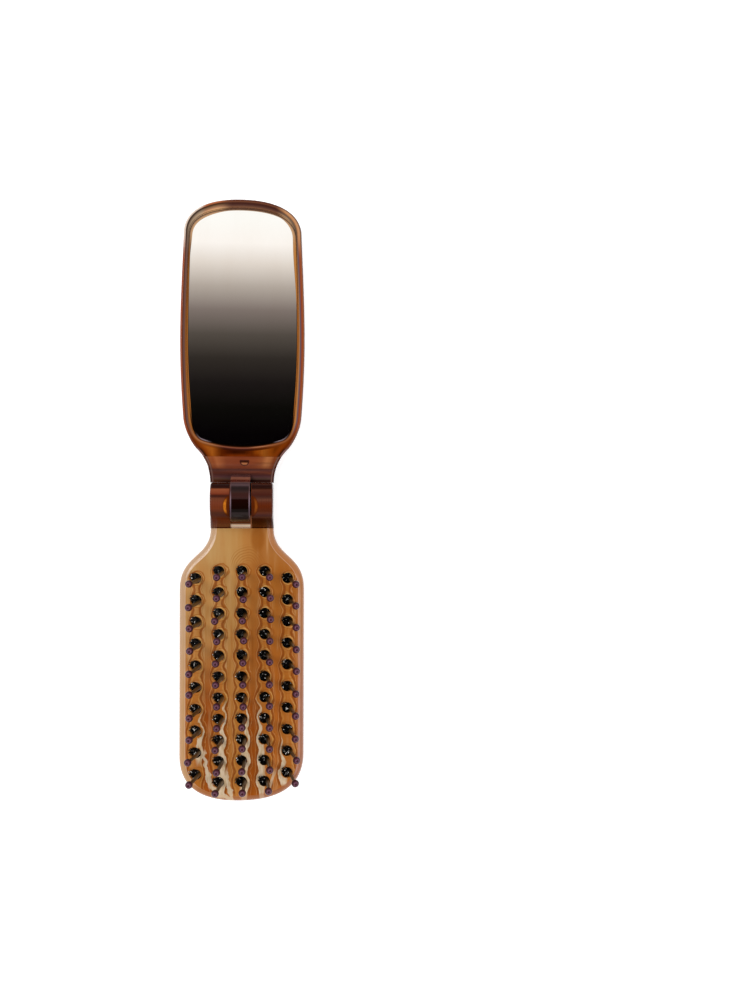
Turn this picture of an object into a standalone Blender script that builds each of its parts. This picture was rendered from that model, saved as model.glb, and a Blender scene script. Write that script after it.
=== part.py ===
"""Folding hairbrush with mirror, opened flat, back down.

Metres, +Z up. X is the width and Y the length: the mirror half lies at +Y and the brush half at -Y.
The hinge axis is parallel to X, straight above the origin. Both halves rest on z = 0.
"""

import math
import random

import bmesh
import bpy
from mathutils import Euler, Matrix, Vector

# Both halves: lengths run from the hinge axis
HALF_WIDTH = 0.0185
NECK_HALF_WIDTH = 0.00935
BRUSH_REACH = 0.0900
MIRROR_REACH = 0.0900
BRUSH_THICKNESS = 0.0070
MIRROR_THICKNESS = 0.0055
PIVOT_HEIGHT = 0.0130

# Clearances, and the overrun of every cut
GAP = 0.0003
RUNNING_GAP = 0.0003
OVERRUN = 0.0040

# Bevels along the edges
BRUSH_EDGE = 0.0019
MIRROR_BACK_EDGE = 0.0022
MIRROR_FRONT_EDGE = 0.0006
HINGE_EDGE = 0.0012
GLASS_EDGE = 0.0003

# Brush body
BODY_JOINT = 0.0082
SPIGOT_LENGTH = 0.0011
SPIGOT_WIDTH = 0.0032
SPIGOT_WALL = 0.0008
SPIGOT_BOTTOM = 0.0020
SPIGOT_TOP = 0.0050
SHOULDER_AT = 0.0265
END_CURVE_LENGTH = 0.0140

# Tuft holes, in five columns that fan out from the back. margin runs from the last hole to the brush's end.
HOLE_RADIUS = 0.00155
HOLE_DEPTH = 0.0052
COLUMN_SIDE_MARGIN = 0.0050
COLUMN_FAN = math.radians(5.6)
LONG_COLUMN = {"start": 0.0210, "margin": 0.0061, "rows": 11}
SHORT_COLUMN = {"start": 0.0231, "margin": 0.00855, "rows": 10}
COLUMNS = (SHORT_COLUMN, LONG_COLUMN, LONG_COLUMN, LONG_COLUMN, SHORT_COLUMN)
TUFT_SWAY = math.radians(0.7)
TUFT_TWIST = math.radians(15)

# Tuft: root, bristles, and at their +X side one pin with a ball tip
ROOT_RADIUS = 0.00125
ROOT_HEIGHT = 0.0009
STRAND_COUNT = 6
STRAND_RADIUS = 0.00024
STRAND_TIP_RADIUS = 0.00018
STRAND_PROUD = 0.0016
STRAND_RING_RADIUS = 0.00078
STRAND_SPLAY = 0.0004
STRAND_ARC = math.radians(250)
PIN_RADIUS = 0.00055
PIN_OFFSET = 0.00055
PIN_PROUD = 0.0115
BALL_RADIUS = 0.0010

# Hinge
BARREL_RADIUS = 0.0053
SLOT_HALF_WIDTH = 0.0033
SLOT_RADIUS = 0.0065
FLOOR_REAR = 0.0031
TONGUE_RADIUS = 0.0060
DOME_BASE_RADIUS = 0.0030
DOME_HEIGHT = 0.0019
LEAF_HEIGHT = 0.0085
LEAF_CREST = 0.0024
LEAF_FOOT = 0.0018
ARM_LENGTH = 0.0030
ARM_ROOM = 0.0010
ARM_TOP_ANGLE = math.radians(40)
REAR_TANGENT_ANGLE = math.radians(156)

# Joint between the leaf and the mirror shell
SHELL_JOINT = 0.0132
SHELL_ARC_AT = 0.01185
SHELL_ARC_RISE = 0.0011
SHELL_SPIGOT_LENGTH = 0.0034
SHELL_SPIGOT_HALF_WIDTH = 0.0078
SHELL_SPIGOT_BOTTOM = 0.0019
SHELL_SPIGOT_TOP = 0.0036
LUG_RADIUS = 0.0012
LUG_AT = 0.0119
LUG_TOP = 0.0052
LUG_OFFSET = 0.0008
BACK_WINDOW_AT = 0.0108

# Mirror and its seat
MIRROR_TOP_LENGTH = 0.0420
GLASS_SIDE_RIM = 0.0020
GLASS_END_RIM = 0.0025
GLASS_START = 0.0162
GLASS_THICKNESS = 0.0020
SEAT_FLOOR = 0.0018
SEAT_LIP = 0.00045
GLUE_FILM = 0.0002
GLUE_THICKNESS = 0.0005
GLUE_MARGIN = 0.0015
GLUE_DOT_RADII = (0.0038, 0.0035, 0.0032)
GLUE_DOT_SIDE_MARGIN = 0.0064
GLUE_DOT_LOW_MARGIN = 0.0073
GLUE_DOT_TOP_MARGIN = 0.0067

# Outlines are cubic curves. For each curve, a table gives its two handles and its end,
# as shares across and along.
BRUSH_NECK_SHARES = (((0, 0.49), (1, 0.42), (1, 1)),)
BRUSH_END_SHARES = (((1, 0.72), (0.62, 1), (0, 1)),)
MIRROR_TOP_SHARES = (
    ((1, 0.286), (0.959, 0.571), (0.943, 0.774)),
    ((0.911, 0.905), (0.622, 1), (0, 1)),
)
MIRROR_LOW_SHARES = (
    ((1, 0.764), (0.934, 0.552), (0.896, 0.446)),
    ((0.858, 0.363), (0.617, 0.264), (0.432, 0.226)),
    ((0.202, 0.177), (0, 0.092), (0, 0)),
)
GLASS_TOP_SHARES = (
    ((1, 0.304), (0.976, 0.557), (0.961, 0.785)),
    ((0.945, 0.919), (0.636, 1), (0, 1)),
)
GLASS_LOW_SHARES = (
    ((1, 0.717), (0.958, 0.434), (0.933, 0.277)),
    ((0.912, 0.151), (0.836, 0.079), (0.709, 0.055)),
    ((0.558, 0.028), (0.273, 0), (0, 0)),
)
RAMP_HANDLE_SHARE = 0.45

# Counts
CURVE_STEPS = 6
ARC_STEPS = 10
ROUND_SIDES = 32
DOME_RINGS = 12
HOLE_SIDES = 12
ROOT_SIDES = 8
STRAND_SIDES = 3
PIN_SIDES = 5
BALL_SIDES = 5
BALL_RINGS = 4
SEED = 3

FULL_TURN = 2 * math.pi
WELD = 1e-6
WALL_SLOPE = 0.5
SHARP_ANGLE = math.radians(35)

PIVOT = (0, PIVOT_HEIGHT)
END_CURVE_AT = BRUSH_REACH - END_CURVE_LENGTH
TONGUE_HALF_WIDTH = SLOT_HALF_WIDTH - RUNNING_GAP
LEAF_END = BARREL_RADIUS + RUNNING_GAP
DOME_RADIUS = (DOME_BASE_RADIUS**2 + DOME_HEIGHT**2) / (2 * DOME_HEIGHT)
DOME_CENTRE = TONGUE_HALF_WIDTH + DOME_HEIGHT - DOME_RADIUS
SHELL_SPIGOT_END = SHELL_JOINT - SHELL_SPIGOT_LENGTH
MIRROR_WIDEST_AT = MIRROR_REACH - MIRROR_TOP_LENGTH
GLASS_HALF_WIDTH = HALF_WIDTH - GLASS_SIDE_RIM
GLASS_END = MIRROR_REACH - GLASS_END_RIM
GLUE_BOTTOM = SEAT_FLOOR + GAP
GLASS_BOTTOM = GLUE_BOTTOM + GLUE_THICKNESS + GAP

# Colour, roughness, metallic
FINISHES = {
    "brush_body": ((0.46, 0.21, 0.075), 0.25, 0),
    "hinge_clevis": ((0.07, 0.012, 0.006), 0.20, 0),
    "hinge_leaf": ((0.07, 0.012, 0.006), 0.20, 0),
    "mirror_shell": ((0.26, 0.055, 0.006), 0.20, 0),
    "mirror_glue": ((0.40, 0.14, 0.02), 0.50, 0),
    "mirror_glass": ((0.86, 0.86, 0.86), 0.03, 1),
    "tuft": ((0.02, 0.012, 0.01), 0.40, 0),
}


def clear_scene():
    for old in list(bpy.data.objects):
        bpy.data.objects.remove(old, do_unlink=True)


def new_collection(name):
    made = bpy.data.collections.new(name)
    bpy.context.scene.collection.children.link(made)
    return made


clear_scene()
PARTS = new_collection("folding_hairbrush")
CUTTERS = new_collection("cutters")


def material(name):
    colour, roughness, metallic = FINISHES[name]
    made = bpy.data.materials.new(name)
    made.use_nodes = True
    shader = made.node_tree.nodes["Principled BSDF"]
    shader.inputs["Base Color"].default_value = (*colour, 1)
    shader.inputs["Roughness"].default_value = roughness
    shader.inputs["Metallic"].default_value = metallic
    made.diffuse_color = (*colour, 1)
    return made


# Outlines


def cubic(start, handle_1, handle_2, end):
    """Points along a cubic curve, without its start."""
    points = []
    for i in range(1, CURVE_STEPS + 1):
        t = i / CURVE_STEPS
        s = 1 - t
        weights = (s**3, 3 * s**2 * t, 3 * s * t**2, t**3)
        corners = (start, handle_1, handle_2, end)
        points.append(tuple(sum(w * c[k] for w, c in zip(weights, corners)) for k in (0, 1)))
    return points


def share_curve(start, shares, place):
    """Points through a table of shares. place turns a pair of shares into a point."""
    points = [start]
    for handle_1, handle_2, end in shares:
        points += cubic(points[-1], place(handle_1), place(handle_2), place(end))
    return points


def between(low, high):
    """A function from a pair of shares to the point that far from low to high."""
    return lambda share: tuple(a + s * (b - a) for a, b, s in zip(low, high, share))


def closed_from(right_side):
    """The closed outline whose right side this is, from one end of the Y axis to the other."""
    return right_side + [(-x, y) for x, y in reversed(right_side) if x > 0]


def brush_outline():
    """The brush half from above, run past its joint so that the joint can be cut square."""
    neck = between((NECK_HALF_WIDTH, -BODY_JOINT), (HALF_WIDTH, -SHOULDER_AT))
    end = between((0, -END_CURVE_AT), (HALF_WIDTH, -BRUSH_REACH))
    side = [(NECK_HALF_WIDTH, OVERRUN - BODY_JOINT)]
    side += share_curve((NECK_HALF_WIDTH, -BODY_JOINT), BRUSH_NECK_SHARES, neck)
    side += share_curve((HALF_WIDTH, -END_CURVE_AT), BRUSH_END_SHARES, end)
    return closed_from(side)


def mirror_outline():
    """The mirror half from above, run past the leaf's end so that the end can be cut square."""
    low = between((NECK_HALF_WIDTH, LEAF_END), (HALF_WIDTH, MIRROR_WIDEST_AT))
    top = between((0, MIRROR_WIDEST_AT), (HALF_WIDTH, MIRROR_REACH))
    widest = (HALF_WIDTH, MIRROR_WIDEST_AT)
    lower = share_curve(widest, MIRROR_LOW_SHARES, low)
    side = [(NECK_HALF_WIDTH, LEAF_END - OVERRUN)] + lower[::-1]
    side += share_curve(widest, MIRROR_TOP_SHARES, top)[1:]
    return closed_from(side)


def glass_outline(grown=0):
    widest = (GLASS_HALF_WIDTH + grown, MIRROR_WIDEST_AT)
    low = between((0, GLASS_START - grown), widest)
    top = between((0, MIRROR_WIDEST_AT), (widest[0], GLASS_END + grown))
    lower = share_curve(widest, GLASS_LOW_SHARES, low)
    side = lower[::-1] + share_curve(widest, GLASS_TOP_SHARES, top)[1:]
    return closed_from(side)


def arc(centre, radius, start, end, steps=ARC_STEPS):
    """Points of an arc, both ends included, with angles in radians."""
    angles = [start + (end - start) * i / steps for i in range(steps + 1)]
    return [(centre[0] + radius * math.cos(a), centre[1] + radius * math.sin(a)) for a in angles]


def lug_outline(flat_edge, grown=0):
    """A half-round, flat towards the mirror."""
    centre = (LUG_OFFSET, flat_edge + grown)
    return arc(centre, LUG_RADIUS + grown, -math.pi, 0)


def seam_height(x):
    """Where the seam across the back lies, at a distance x from the middle."""
    return SHELL_ARC_AT - SHELL_ARC_RISE * (x / NECK_HALF_WIDTH) ** 2


def seam_outline(half_width, shift, edge):
    """From the seam across the back, moved by shift, to a straight edge."""
    places = [half_width * (2 * i / ARC_STEPS - 1) for i in range(ARC_STEPS + 1)]
    return [(x, seam_height(x) + shift) for x in places] + [(half_width, edge), (-half_width, edge)]


# Solids


def finish_mesh(mesh):
    """Joins the triangles that fill each end into one face, and turns all faces outwards."""
    shape = bmesh.new()
    shape.from_mesh(mesh)
    bmesh.ops.remove_doubles(shape, verts=shape.verts, dist=WELD)
    shape.normal_update()
    inner = [e for e in shape.edges if all(abs(f.normal.z) > WALL_SLOPE for f in e.link_faces)]
    bmesh.ops.dissolve_edges(shape, edges=inner, use_verts=False)
    bmesh.ops.recalc_face_normals(shape, faces=shape.faces)
    shape.to_mesh(mesh)
    shape.free()


def slab_mesh(name, outline, low, high):
    """The outline, a filled flat curve, extruded from low to high."""
    curve = bpy.data.curves.new(name, "CURVE")
    curve.dimensions = "2D"
    curve.fill_mode = "BOTH"
    curve.extrude = (high - low) / 2
    spline = curve.splines.new("POLY")
    spline.points.add(len(outline) - 1)
    for point, (x, y) in zip(spline.points, outline):
        point.co = (x, y, 0, 1)
    spline.use_cyclic_u = True
    guide = bpy.data.objects.new(name, curve)
    CUTTERS.objects.link(guide)
    bpy.context.view_layer.update()
    graph = bpy.context.evaluated_depsgraph_get()
    mesh = bpy.data.meshes.new_from_object(guide.evaluated_get(graph))
    mesh.name = name
    bpy.data.objects.remove(guide)
    mesh.transform(Matrix.Translation((0, 0, (low + high) / 2)))
    finish_mesh(mesh)
    return mesh


def weigh_rims(mesh, low, high, low_edge, high_edge):
    """Marks the rims at both ends of a slab, and returns the width that a weight of 1 stands for."""
    widest = max(low_edge, high_edge)
    shape = bmesh.new()
    shape.from_mesh(mesh)
    weight = shape.edges.layers.float.new("bevel_weight_edge")
    for edge in shape.edges:
        heights = [v.co.z for v in edge.verts]
        if max(abs(z - low) for z in heights) < WELD:
            edge[weight] = low_edge / widest
        elif max(abs(z - high) for z in heights) < WELD:
            edge[weight] = high_edge / widest
    shape.to_mesh(mesh)
    shape.free()
    return widest


def new_object(name, mesh, collection):
    made = bpy.data.objects.new(name, mesh)
    collection.objects.link(made)
    if collection is CUTTERS:
        made.hide_render = True
        made.display_type = "WIRE"
    return made


def slab(name, outline, low, high, low_edge=0, high_edge=0, segments=2, collection=CUTTERS):
    """An upright slab, with bevels along its lower and upper rims."""
    mesh = slab_mesh(name, outline, low, high)
    made = new_object(name, mesh, collection)
    if low_edge or high_edge:
        width = weigh_rims(mesh, low, high, low_edge, high_edge)
        add_bevel(made, width, segments)
    return made


def add_bevel(target, width, segments):
    bevel = target.modifiers.new("edges", "BEVEL")
    bevel.width = width
    bevel.segments = segments
    bevel.limit_method = "WEIGHT"
    bevel.use_clamp_overlap = False


def bar(name, profile, half_width, edge=0, segments=2, collection=CUTTERS):
    """A profile in Y and Z, extruded along X to both sides, with bevels along its two end faces."""
    mesh = slab_mesh(name, profile, -half_width, half_width)
    made = new_object(name, mesh, collection)
    if edge:
        add_bevel(made, weigh_rims(mesh, -half_width, half_width, edge, edge), segments)
    mesh.transform(Matrix(((0, 0, 1, 0), (1, 0, 0, 0), (0, 1, 0, 0), (0, 0, 0, 1))))
    return made


def box(name, low, high, collection=CUTTERS):
    shape = bmesh.new()
    bmesh.ops.create_cube(shape, size=1)
    middle = (Vector(low) + Vector(high)) / 2
    sides = Vector(high) - Vector(low)
    bmesh.ops.scale(shape, vec=sides, verts=shape.verts)
    bmesh.ops.translate(shape, vec=middle, verts=shape.verts)
    mesh = bpy.data.meshes.new(name)
    shape.to_mesh(mesh)
    shape.free()
    return new_object(name, mesh, collection)


def add_cone(shape, sides, low_radius, high_radius, length, place):
    """A closed cone or cylinder whose foot is at the origin of place."""
    lift = Matrix.Translation((0, 0, length / 2))
    bmesh.ops.create_cone(
        shape,
        cap_ends=True,
        segments=sides,
        radius1=low_radius,
        radius2=high_radius,
        depth=length,
        matrix=place @ lift,
    )


def ball(name, radius, centre, sides=ROUND_SIDES, rings=DOME_RINGS, turn=None):
    shape = bmesh.new()
    place = Matrix.Translation(centre) @ (turn or Matrix.Identity(4))
    bmesh.ops.create_uvsphere(shape, u_segments=sides, v_segments=rings, radius=radius, matrix=place)
    mesh = bpy.data.meshes.new(name)
    shape.to_mesh(mesh)
    shape.free()
    return new_object(name, mesh, CUTTERS)


def combine(target, other, operation):
    step = target.modifiers.new(f"{operation.lower()}_{other.name}", "BOOLEAN")
    step.object = other
    step.operation = operation


def cut(target, *others):
    for other in others:
        combine(target, other, "DIFFERENCE")


def join(target, *others):
    for other in others:
        combine(target, other, "UNION")


def finish(target, name):
    target.data.materials.clear()
    target.data.materials.append(material(name))
    target.data.shade_smooth()
    target.data.set_sharp_from_angle(angle=SHARP_ANGLE)
    return target


# Brush body


def holes():
    """Each tuft hole's name and the matrix that takes its foot, pointing up the hole, to its place."""
    found = []
    middle = (len(COLUMNS) - 1) / 2
    pitch = (HALF_WIDTH - COLUMN_SIDE_MARGIN) / middle
    for c, column in enumerate(COLUMNS):
        lean = (c - middle) * COLUMN_FAN
        step = (BRUSH_REACH - column["margin"] - column["start"]) / (column["rows"] - 1)
        turn = Matrix.Rotation(lean, 4, "Y")
        for r in range(column["rows"]):
            mouth = Vector(((c - middle) * pitch, -column["start"] - r * step, BRUSH_THICKNESS))
            foot = mouth - turn.to_3x3() @ Vector((0, 0, HOLE_DEPTH))
            found.append((f"tuft_{c + 1}_{r + 1:02d}", Matrix.Translation(foot) @ turn))
    return found


def hole_cutters():
    shape = bmesh.new()
    for _, place in holes():
        add_cone(shape, HOLE_SIDES, HOLE_RADIUS, HOLE_RADIUS, HOLE_DEPTH + OVERRUN, place)
    mesh = bpy.data.meshes.new("tuft_holes")
    shape.to_mesh(mesh)
    shape.free()
    return new_object("tuft_holes", mesh, CUTTERS)


def body_spigots(name, grown):
    """The body's two spigots in the clevis, one on each side of its slot, or with grown their sockets."""
    inner = SLOT_HALF_WIDTH + SPIGOT_WALL + GAP
    made = []
    for side, sign in (("left", -1), ("right", 1)):
        sides = sorted((sign * (inner - grown), sign * (inner + SPIGOT_WIDTH + grown)))
        low = (sides[0], -BODY_JOINT - OVERRUN, SPIGOT_BOTTOM - grown)
        high = (sides[1], -BODY_JOINT + SPIGOT_LENGTH + grown, SPIGOT_TOP + grown)
        made.append(box(f"{name}_{side}", low, high))
    return made


def make_brush_body():
    body = slab(
        "brush_body", brush_outline(), 0, BRUSH_THICKNESS, BRUSH_EDGE, BRUSH_EDGE, collection=PARTS
    )
    joint = box(
        "body_joint_cut",
        (-HALF_WIDTH, -BODY_JOINT - GAP / 2, -OVERRUN),
        (HALF_WIDTH, OVERRUN, BRUSH_THICKNESS + OVERRUN),
    )
    cut(body, joint)
    join(body, *body_spigots("spigot", 0))
    cut(body, hole_cutters())
    return finish(body, "brush_body")


# Hinge


def make_clevis():
    """The cheeks and the floor. The rear runs past its joint, so that the joint can be cut square."""
    rear = -BODY_JOINT - OVERRUN
    profile = [(BARREL_RADIUS, 0)]
    profile += arc(PIVOT, BARREL_RADIUS, 0, REAR_TANGENT_ANGLE)
    profile += [(-BODY_JOINT, BRUSH_THICKNESS), (rear, BRUSH_THICKNESS), (rear, 0)]
    clevis = bar("hinge_clevis", profile, NECK_HALF_WIDTH, HINGE_EDGE, collection=PARTS)

    floor_angle = math.asin(-FLOOR_REAR / SLOT_RADIUS) - math.pi / 2
    top = PIVOT_HEIGHT + BARREL_RADIUS + OVERRUN
    slot = [(rear - OVERRUN, -OVERRUN), (-FLOOR_REAR, -OVERRUN)]
    slot += arc(PIVOT, SLOT_RADIUS, floor_angle, 0)
    slot += [(SLOT_RADIUS, top), (rear - OVERRUN, top)]
    joint = box(
        "clevis_joint_cut",
        (-HALF_WIDTH, rear - OVERRUN, -OVERRUN),
        (HALF_WIDTH, -BODY_JOINT + GAP / 2, BRUSH_THICKNESS + OVERRUN),
    )
    cut(clevis, bar("slot", slot, SLOT_HALF_WIDTH), joint)
    cut(clevis, *body_spigots("socket", GAP), *domes("dimple", RUNNING_GAP))
    return finish(clevis, "hinge_clevis")


def domes(name, grown):
    """The two snap domes of the tongue, or with grown the dimples for them."""
    sideways = Matrix.Rotation(math.pi / 2, 4, "Y")
    return [
        ball(f"{name}_{side}", DOME_RADIUS + grown, (sign * DOME_CENTRE, 0, PIVOT_HEIGHT), turn=sideways)
        for side, sign in (("left", -1), ("right", 1))
    ]


def make_leaf():
    """The dark neck: a slab with the neck's outline under a ramp, and the tongue that turns in the slot."""
    front_edge = SHELL_JOINT - GAP
    crest = LEAF_END + LEAF_CREST
    foot = front_edge - LEAF_FOOT
    run = foot - crest
    profile = [(LEAF_END, -OVERRUN), (front_edge, -OVERRUN), (front_edge, MIRROR_THICKNESS)]
    profile.append((foot, MIRROR_THICKNESS))
    profile += cubic(
        (foot, MIRROR_THICKNESS),
        (foot - run * RAMP_HANDLE_SHARE, MIRROR_THICKNESS),
        (crest + run * RAMP_HANDLE_SHARE, LEAF_HEIGHT),
        (crest, LEAF_HEIGHT),
    )
    profile.append((LEAF_END, LEAF_HEIGHT))
    leaf = slab(
        "hinge_leaf", mirror_outline(), 0, LEAF_HEIGHT + OVERRUN, MIRROR_BACK_EDGE, collection=PARTS
    )
    combine(leaf, bar("leaf_profile", profile, HALF_WIDTH + OVERRUN), "INTERSECT")

    arm_low = LEAF_HEIGHT - ARM_ROOM
    lowest = PIVOT_HEIGHT - math.sqrt(SLOT_RADIUS**2 - BARREL_RADIUS**2) + ARM_ROOM
    arm = [
        PIVOT,
        (LEAF_END, lowest),
        (LEAF_END + GAP, arm_low),
        (LEAF_END + ARM_LENGTH, arm_low),
        arc(PIVOT, TONGUE_RADIUS, ARM_TOP_ANGLE, 0)[0],
    ]
    barrel = arc(PIVOT, TONGUE_RADIUS, 0, FULL_TURN, ROUND_SIDES)[:-1]
    join(leaf, bar("tongue_arm", arm, TONGUE_HALF_WIDTH), bar("tongue_barrel", barrel, TONGUE_HALF_WIDTH))
    join(leaf, *domes("dome", 0))

    wide = HALF_WIDTH + OVERRUN
    past = SHELL_JOINT + OVERRUN
    roof = SHELL_SPIGOT_TOP + GAP
    skin_room = slab("skin_room", seam_outline(wide, -GAP, past), -OVERRUN, roof)
    socket = box(
        "shell_socket",
        (-SHELL_SPIGOT_HALF_WIDTH - GAP, SHELL_SPIGOT_END - GAP, SHELL_SPIGOT_BOTTOM - GAP),
        (SHELL_SPIGOT_HALF_WIDTH + GAP, past, roof),
    )
    window = slab("front_window", lug_outline(LUG_AT, GAP), SHELL_SPIGOT_BOTTOM, LEAF_HEIGHT + OVERRUN)
    back_window = slab("back_window", lug_outline(BACK_WINDOW_AT), -OVERRUN, SHELL_SPIGOT_TOP)
    cut(leaf, skin_room, socket, window, back_window)
    return finish(leaf, "hinge_leaf")


# Mirror half


def make_shell():
    shell = slab(
        "mirror_shell",
        mirror_outline(),
        0,
        MIRROR_THICKNESS,
        MIRROR_BACK_EDGE,
        MIRROR_FRONT_EDGE,
        collection=PARTS,
    )
    top = MIRROR_THICKNESS + OVERRUN
    seat = slab("mirror_seat", glass_outline(GAP), SEAT_FLOOR, top)
    chamfer = SEAT_LIP + GAP
    lip = slab(
        "seat_lip", glass_outline(chamfer), MIRROR_THICKNESS - chamfer, top, chamfer + GAP, segments=1
    )
    low = LEAF_END - 2 * OVERRUN
    wide = HALF_WIDTH + OVERRUN
    spigot = box(
        "shell_spigot",
        (-SHELL_SPIGOT_HALF_WIDTH, SHELL_SPIGOT_END, SHELL_SPIGOT_BOTTOM),
        (SHELL_SPIGOT_HALF_WIDTH, (SHELL_JOINT + GLASS_START) / 2, (SHELL_SPIGOT_TOP + MIRROR_THICKNESS) / 2),
    )
    cut(shell, seat, lip, slab("seam", seam_outline(wide, 0, low), -OVERRUN, top))
    join(shell, spigot)
    cut(shell, box("over_spigot", (-wide, low, SHELL_SPIGOT_TOP), (wide, SHELL_JOINT, top)))
    join(shell, slab("lug", lug_outline(LUG_AT), (SHELL_SPIGOT_BOTTOM + SHELL_SPIGOT_TOP) / 2, LUG_TOP))
    return finish(shell, "mirror_shell")


def make_glue():
    """A thin film with six thicker round dots."""
    film = slab(
        "mirror_glue", glass_outline(-GLUE_MARGIN), GLUE_BOTTOM, GLUE_BOTTOM + GLUE_FILM, collection=PARTS
    )
    shape = bmesh.new()
    spread = GLASS_HALF_WIDTH - GLUE_DOT_SIDE_MARGIN
    low = GLASS_START + GLUE_DOT_LOW_MARGIN
    rise = (GLASS_END - GLUE_DOT_TOP_MARGIN - low) / (len(GLUE_DOT_RADII) - 1)
    for row, radius in enumerate(GLUE_DOT_RADII):
        along = low + row * rise
        for across in (-spread, spread):
            place = Matrix.Translation((across, along, GLUE_BOTTOM + GLUE_FILM / 2))
            add_cone(shape, ROUND_SIDES // 2, radius, radius, GLUE_THICKNESS - GLUE_FILM / 2, place)
    mesh = bpy.data.meshes.new("glue_dots")
    shape.to_mesh(mesh)
    shape.free()
    join(film, new_object("glue_dots", mesh, CUTTERS))
    return finish(film, "mirror_glue")


def make_glass():
    glass = slab(
        "mirror_glass",
        glass_outline(),
        GLASS_BOTTOM,
        GLASS_BOTTOM + GLASS_THICKNESS,
        0,
        GLASS_EDGE,
        segments=1,
        collection=PARTS,
    )
    return finish(glass, "mirror_glass")


# Tufts


def tuft_mesh():
    """One tuft, its hole's foot at the origin: a root with bristles beside one long pin."""
    foot = GAP
    inside = foot + ROOT_HEIGHT / 2
    root = bmesh.new()
    add_cone(root, ROOT_SIDES, ROOT_RADIUS, ROOT_RADIUS, ROOT_HEIGHT, Matrix.Translation((0, 0, foot)))
    strands = bmesh.new()
    length = HOLE_DEPTH + STRAND_PROUD - inside
    lean = Matrix.Rotation(math.atan(STRAND_SPLAY / length), 4, "Y")
    for i in range(STRAND_COUNT):
        turn = Matrix.Rotation(math.pi + STRAND_ARC * (i / (STRAND_COUNT - 1) - 1 / 2), 4, "Z")
        place = turn @ Matrix.Translation((STRAND_RING_RADIUS, 0, inside)) @ lean
        add_cone(strands, STRAND_SIDES, STRAND_RADIUS, STRAND_TIP_RADIUS, length, place)
    pin = bmesh.new()
    reach = HOLE_DEPTH + PIN_PROUD
    start = Vector((PIN_OFFSET, 0, inside))
    line = Vector((0, 0, reach)) - start
    place = Matrix.Translation(start) @ line.to_track_quat("Z", "Y").to_matrix().to_4x4()
    add_cone(pin, PIN_SIDES, PIN_RADIUS, PIN_RADIUS, line.length, place)
    made = []
    for name, shape in (("tuft_root", root), ("tuft_strands", strands), ("tuft_pin", pin)):
        mesh = bpy.data.meshes.new(name)
        shape.to_mesh(mesh)
        shape.free()
        made.append(new_object(name, mesh, CUTTERS))
    tip = ball("tuft_ball", BALL_RADIUS, (0, 0, reach), BALL_SIDES, BALL_RINGS)
    join(made[0], *made[1:], tip)
    bpy.context.view_layer.update()
    graph = bpy.context.evaluated_depsgraph_get()
    mesh = bpy.data.meshes.new_from_object(made[0].evaluated_get(graph))
    mesh.name = "tuft"
    for used in (*made, tip):
        bpy.data.objects.remove(used)
    return mesh


def make_tufts():
    mesh = tuft_mesh()
    mesh.materials.clear()
    mesh.materials.append(material("tuft"))
    mesh.shade_smooth()
    mesh.set_sharp_from_angle(angle=SHARP_ANGLE)
    chance = random.Random(SEED)
    for name, place in holes():
        tuft = new_object(name, mesh, PARTS)
        sway = [chance.uniform(-TUFT_SWAY, TUFT_SWAY) for _ in "xy"]
        tilt = Euler((*sway, chance.uniform(-TUFT_TWIST, TUFT_TWIST))).to_matrix().to_4x4()
        tuft.matrix_world = place @ tilt


def hang_on_pivot(pieces):
    """Parents the pieces of the mirror half to an empty on the hinge axis, where they are."""
    pivot = bpy.data.objects.new("hinge_axis", None)
    pivot.location = (0, 0, PIVOT_HEIGHT)
    PARTS.objects.link(pivot)
    bpy.context.view_layer.update()
    for piece in pieces:
        piece.parent = pivot
        piece.matrix_parent_inverse = pivot.matrix_world.inverted()


make_brush_body()
make_clevis()
make_tufts()
hang_on_pivot([make_leaf(), make_shell(), make_glue(), make_glass()])
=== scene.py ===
"""Folding hairbrush with mirror, opened flat on its back. Metres, +Z up, mirror half at +Y, brush half at -Y."""

import math
import random

import bmesh
import bpy
from mathutils import Euler, Matrix, Vector, kdtree


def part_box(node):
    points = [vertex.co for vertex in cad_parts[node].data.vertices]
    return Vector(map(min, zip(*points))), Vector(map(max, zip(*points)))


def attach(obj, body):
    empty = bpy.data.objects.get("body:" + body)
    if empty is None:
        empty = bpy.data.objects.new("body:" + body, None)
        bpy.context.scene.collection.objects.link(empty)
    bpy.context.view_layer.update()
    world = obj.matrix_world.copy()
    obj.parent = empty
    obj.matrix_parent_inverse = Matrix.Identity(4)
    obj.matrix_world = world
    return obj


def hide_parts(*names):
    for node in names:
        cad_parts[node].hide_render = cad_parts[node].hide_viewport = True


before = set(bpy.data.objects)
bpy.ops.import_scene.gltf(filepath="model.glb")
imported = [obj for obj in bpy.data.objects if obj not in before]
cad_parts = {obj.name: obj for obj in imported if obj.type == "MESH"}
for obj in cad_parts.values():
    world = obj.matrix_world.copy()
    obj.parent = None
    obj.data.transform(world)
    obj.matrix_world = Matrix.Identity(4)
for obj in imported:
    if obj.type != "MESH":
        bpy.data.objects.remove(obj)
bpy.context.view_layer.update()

bl_info = {
    "name": "Folding hairbrush with mirror",
    "version": (1, 0, 0),
    "blender": (4, 5, 0),
    "location": "3D View > Sidebar > Hairbrush",
    "description": "Builds a folding hairbrush with a mirror on its packed frame",
    "category": "Object",
}

BODY_LOW, BODY_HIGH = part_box("brush_body")
SHELL_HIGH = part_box("mirror_shell")[1]
CLEVIS_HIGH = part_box("hinge_clevis")[1]
GLASS_LOW, GLASS_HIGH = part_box("mirror_glass")
GLUE_LOW, GLUE_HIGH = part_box("mirror_glue")
TUFTS = sorted(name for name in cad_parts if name.startswith("tuft_"))

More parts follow.
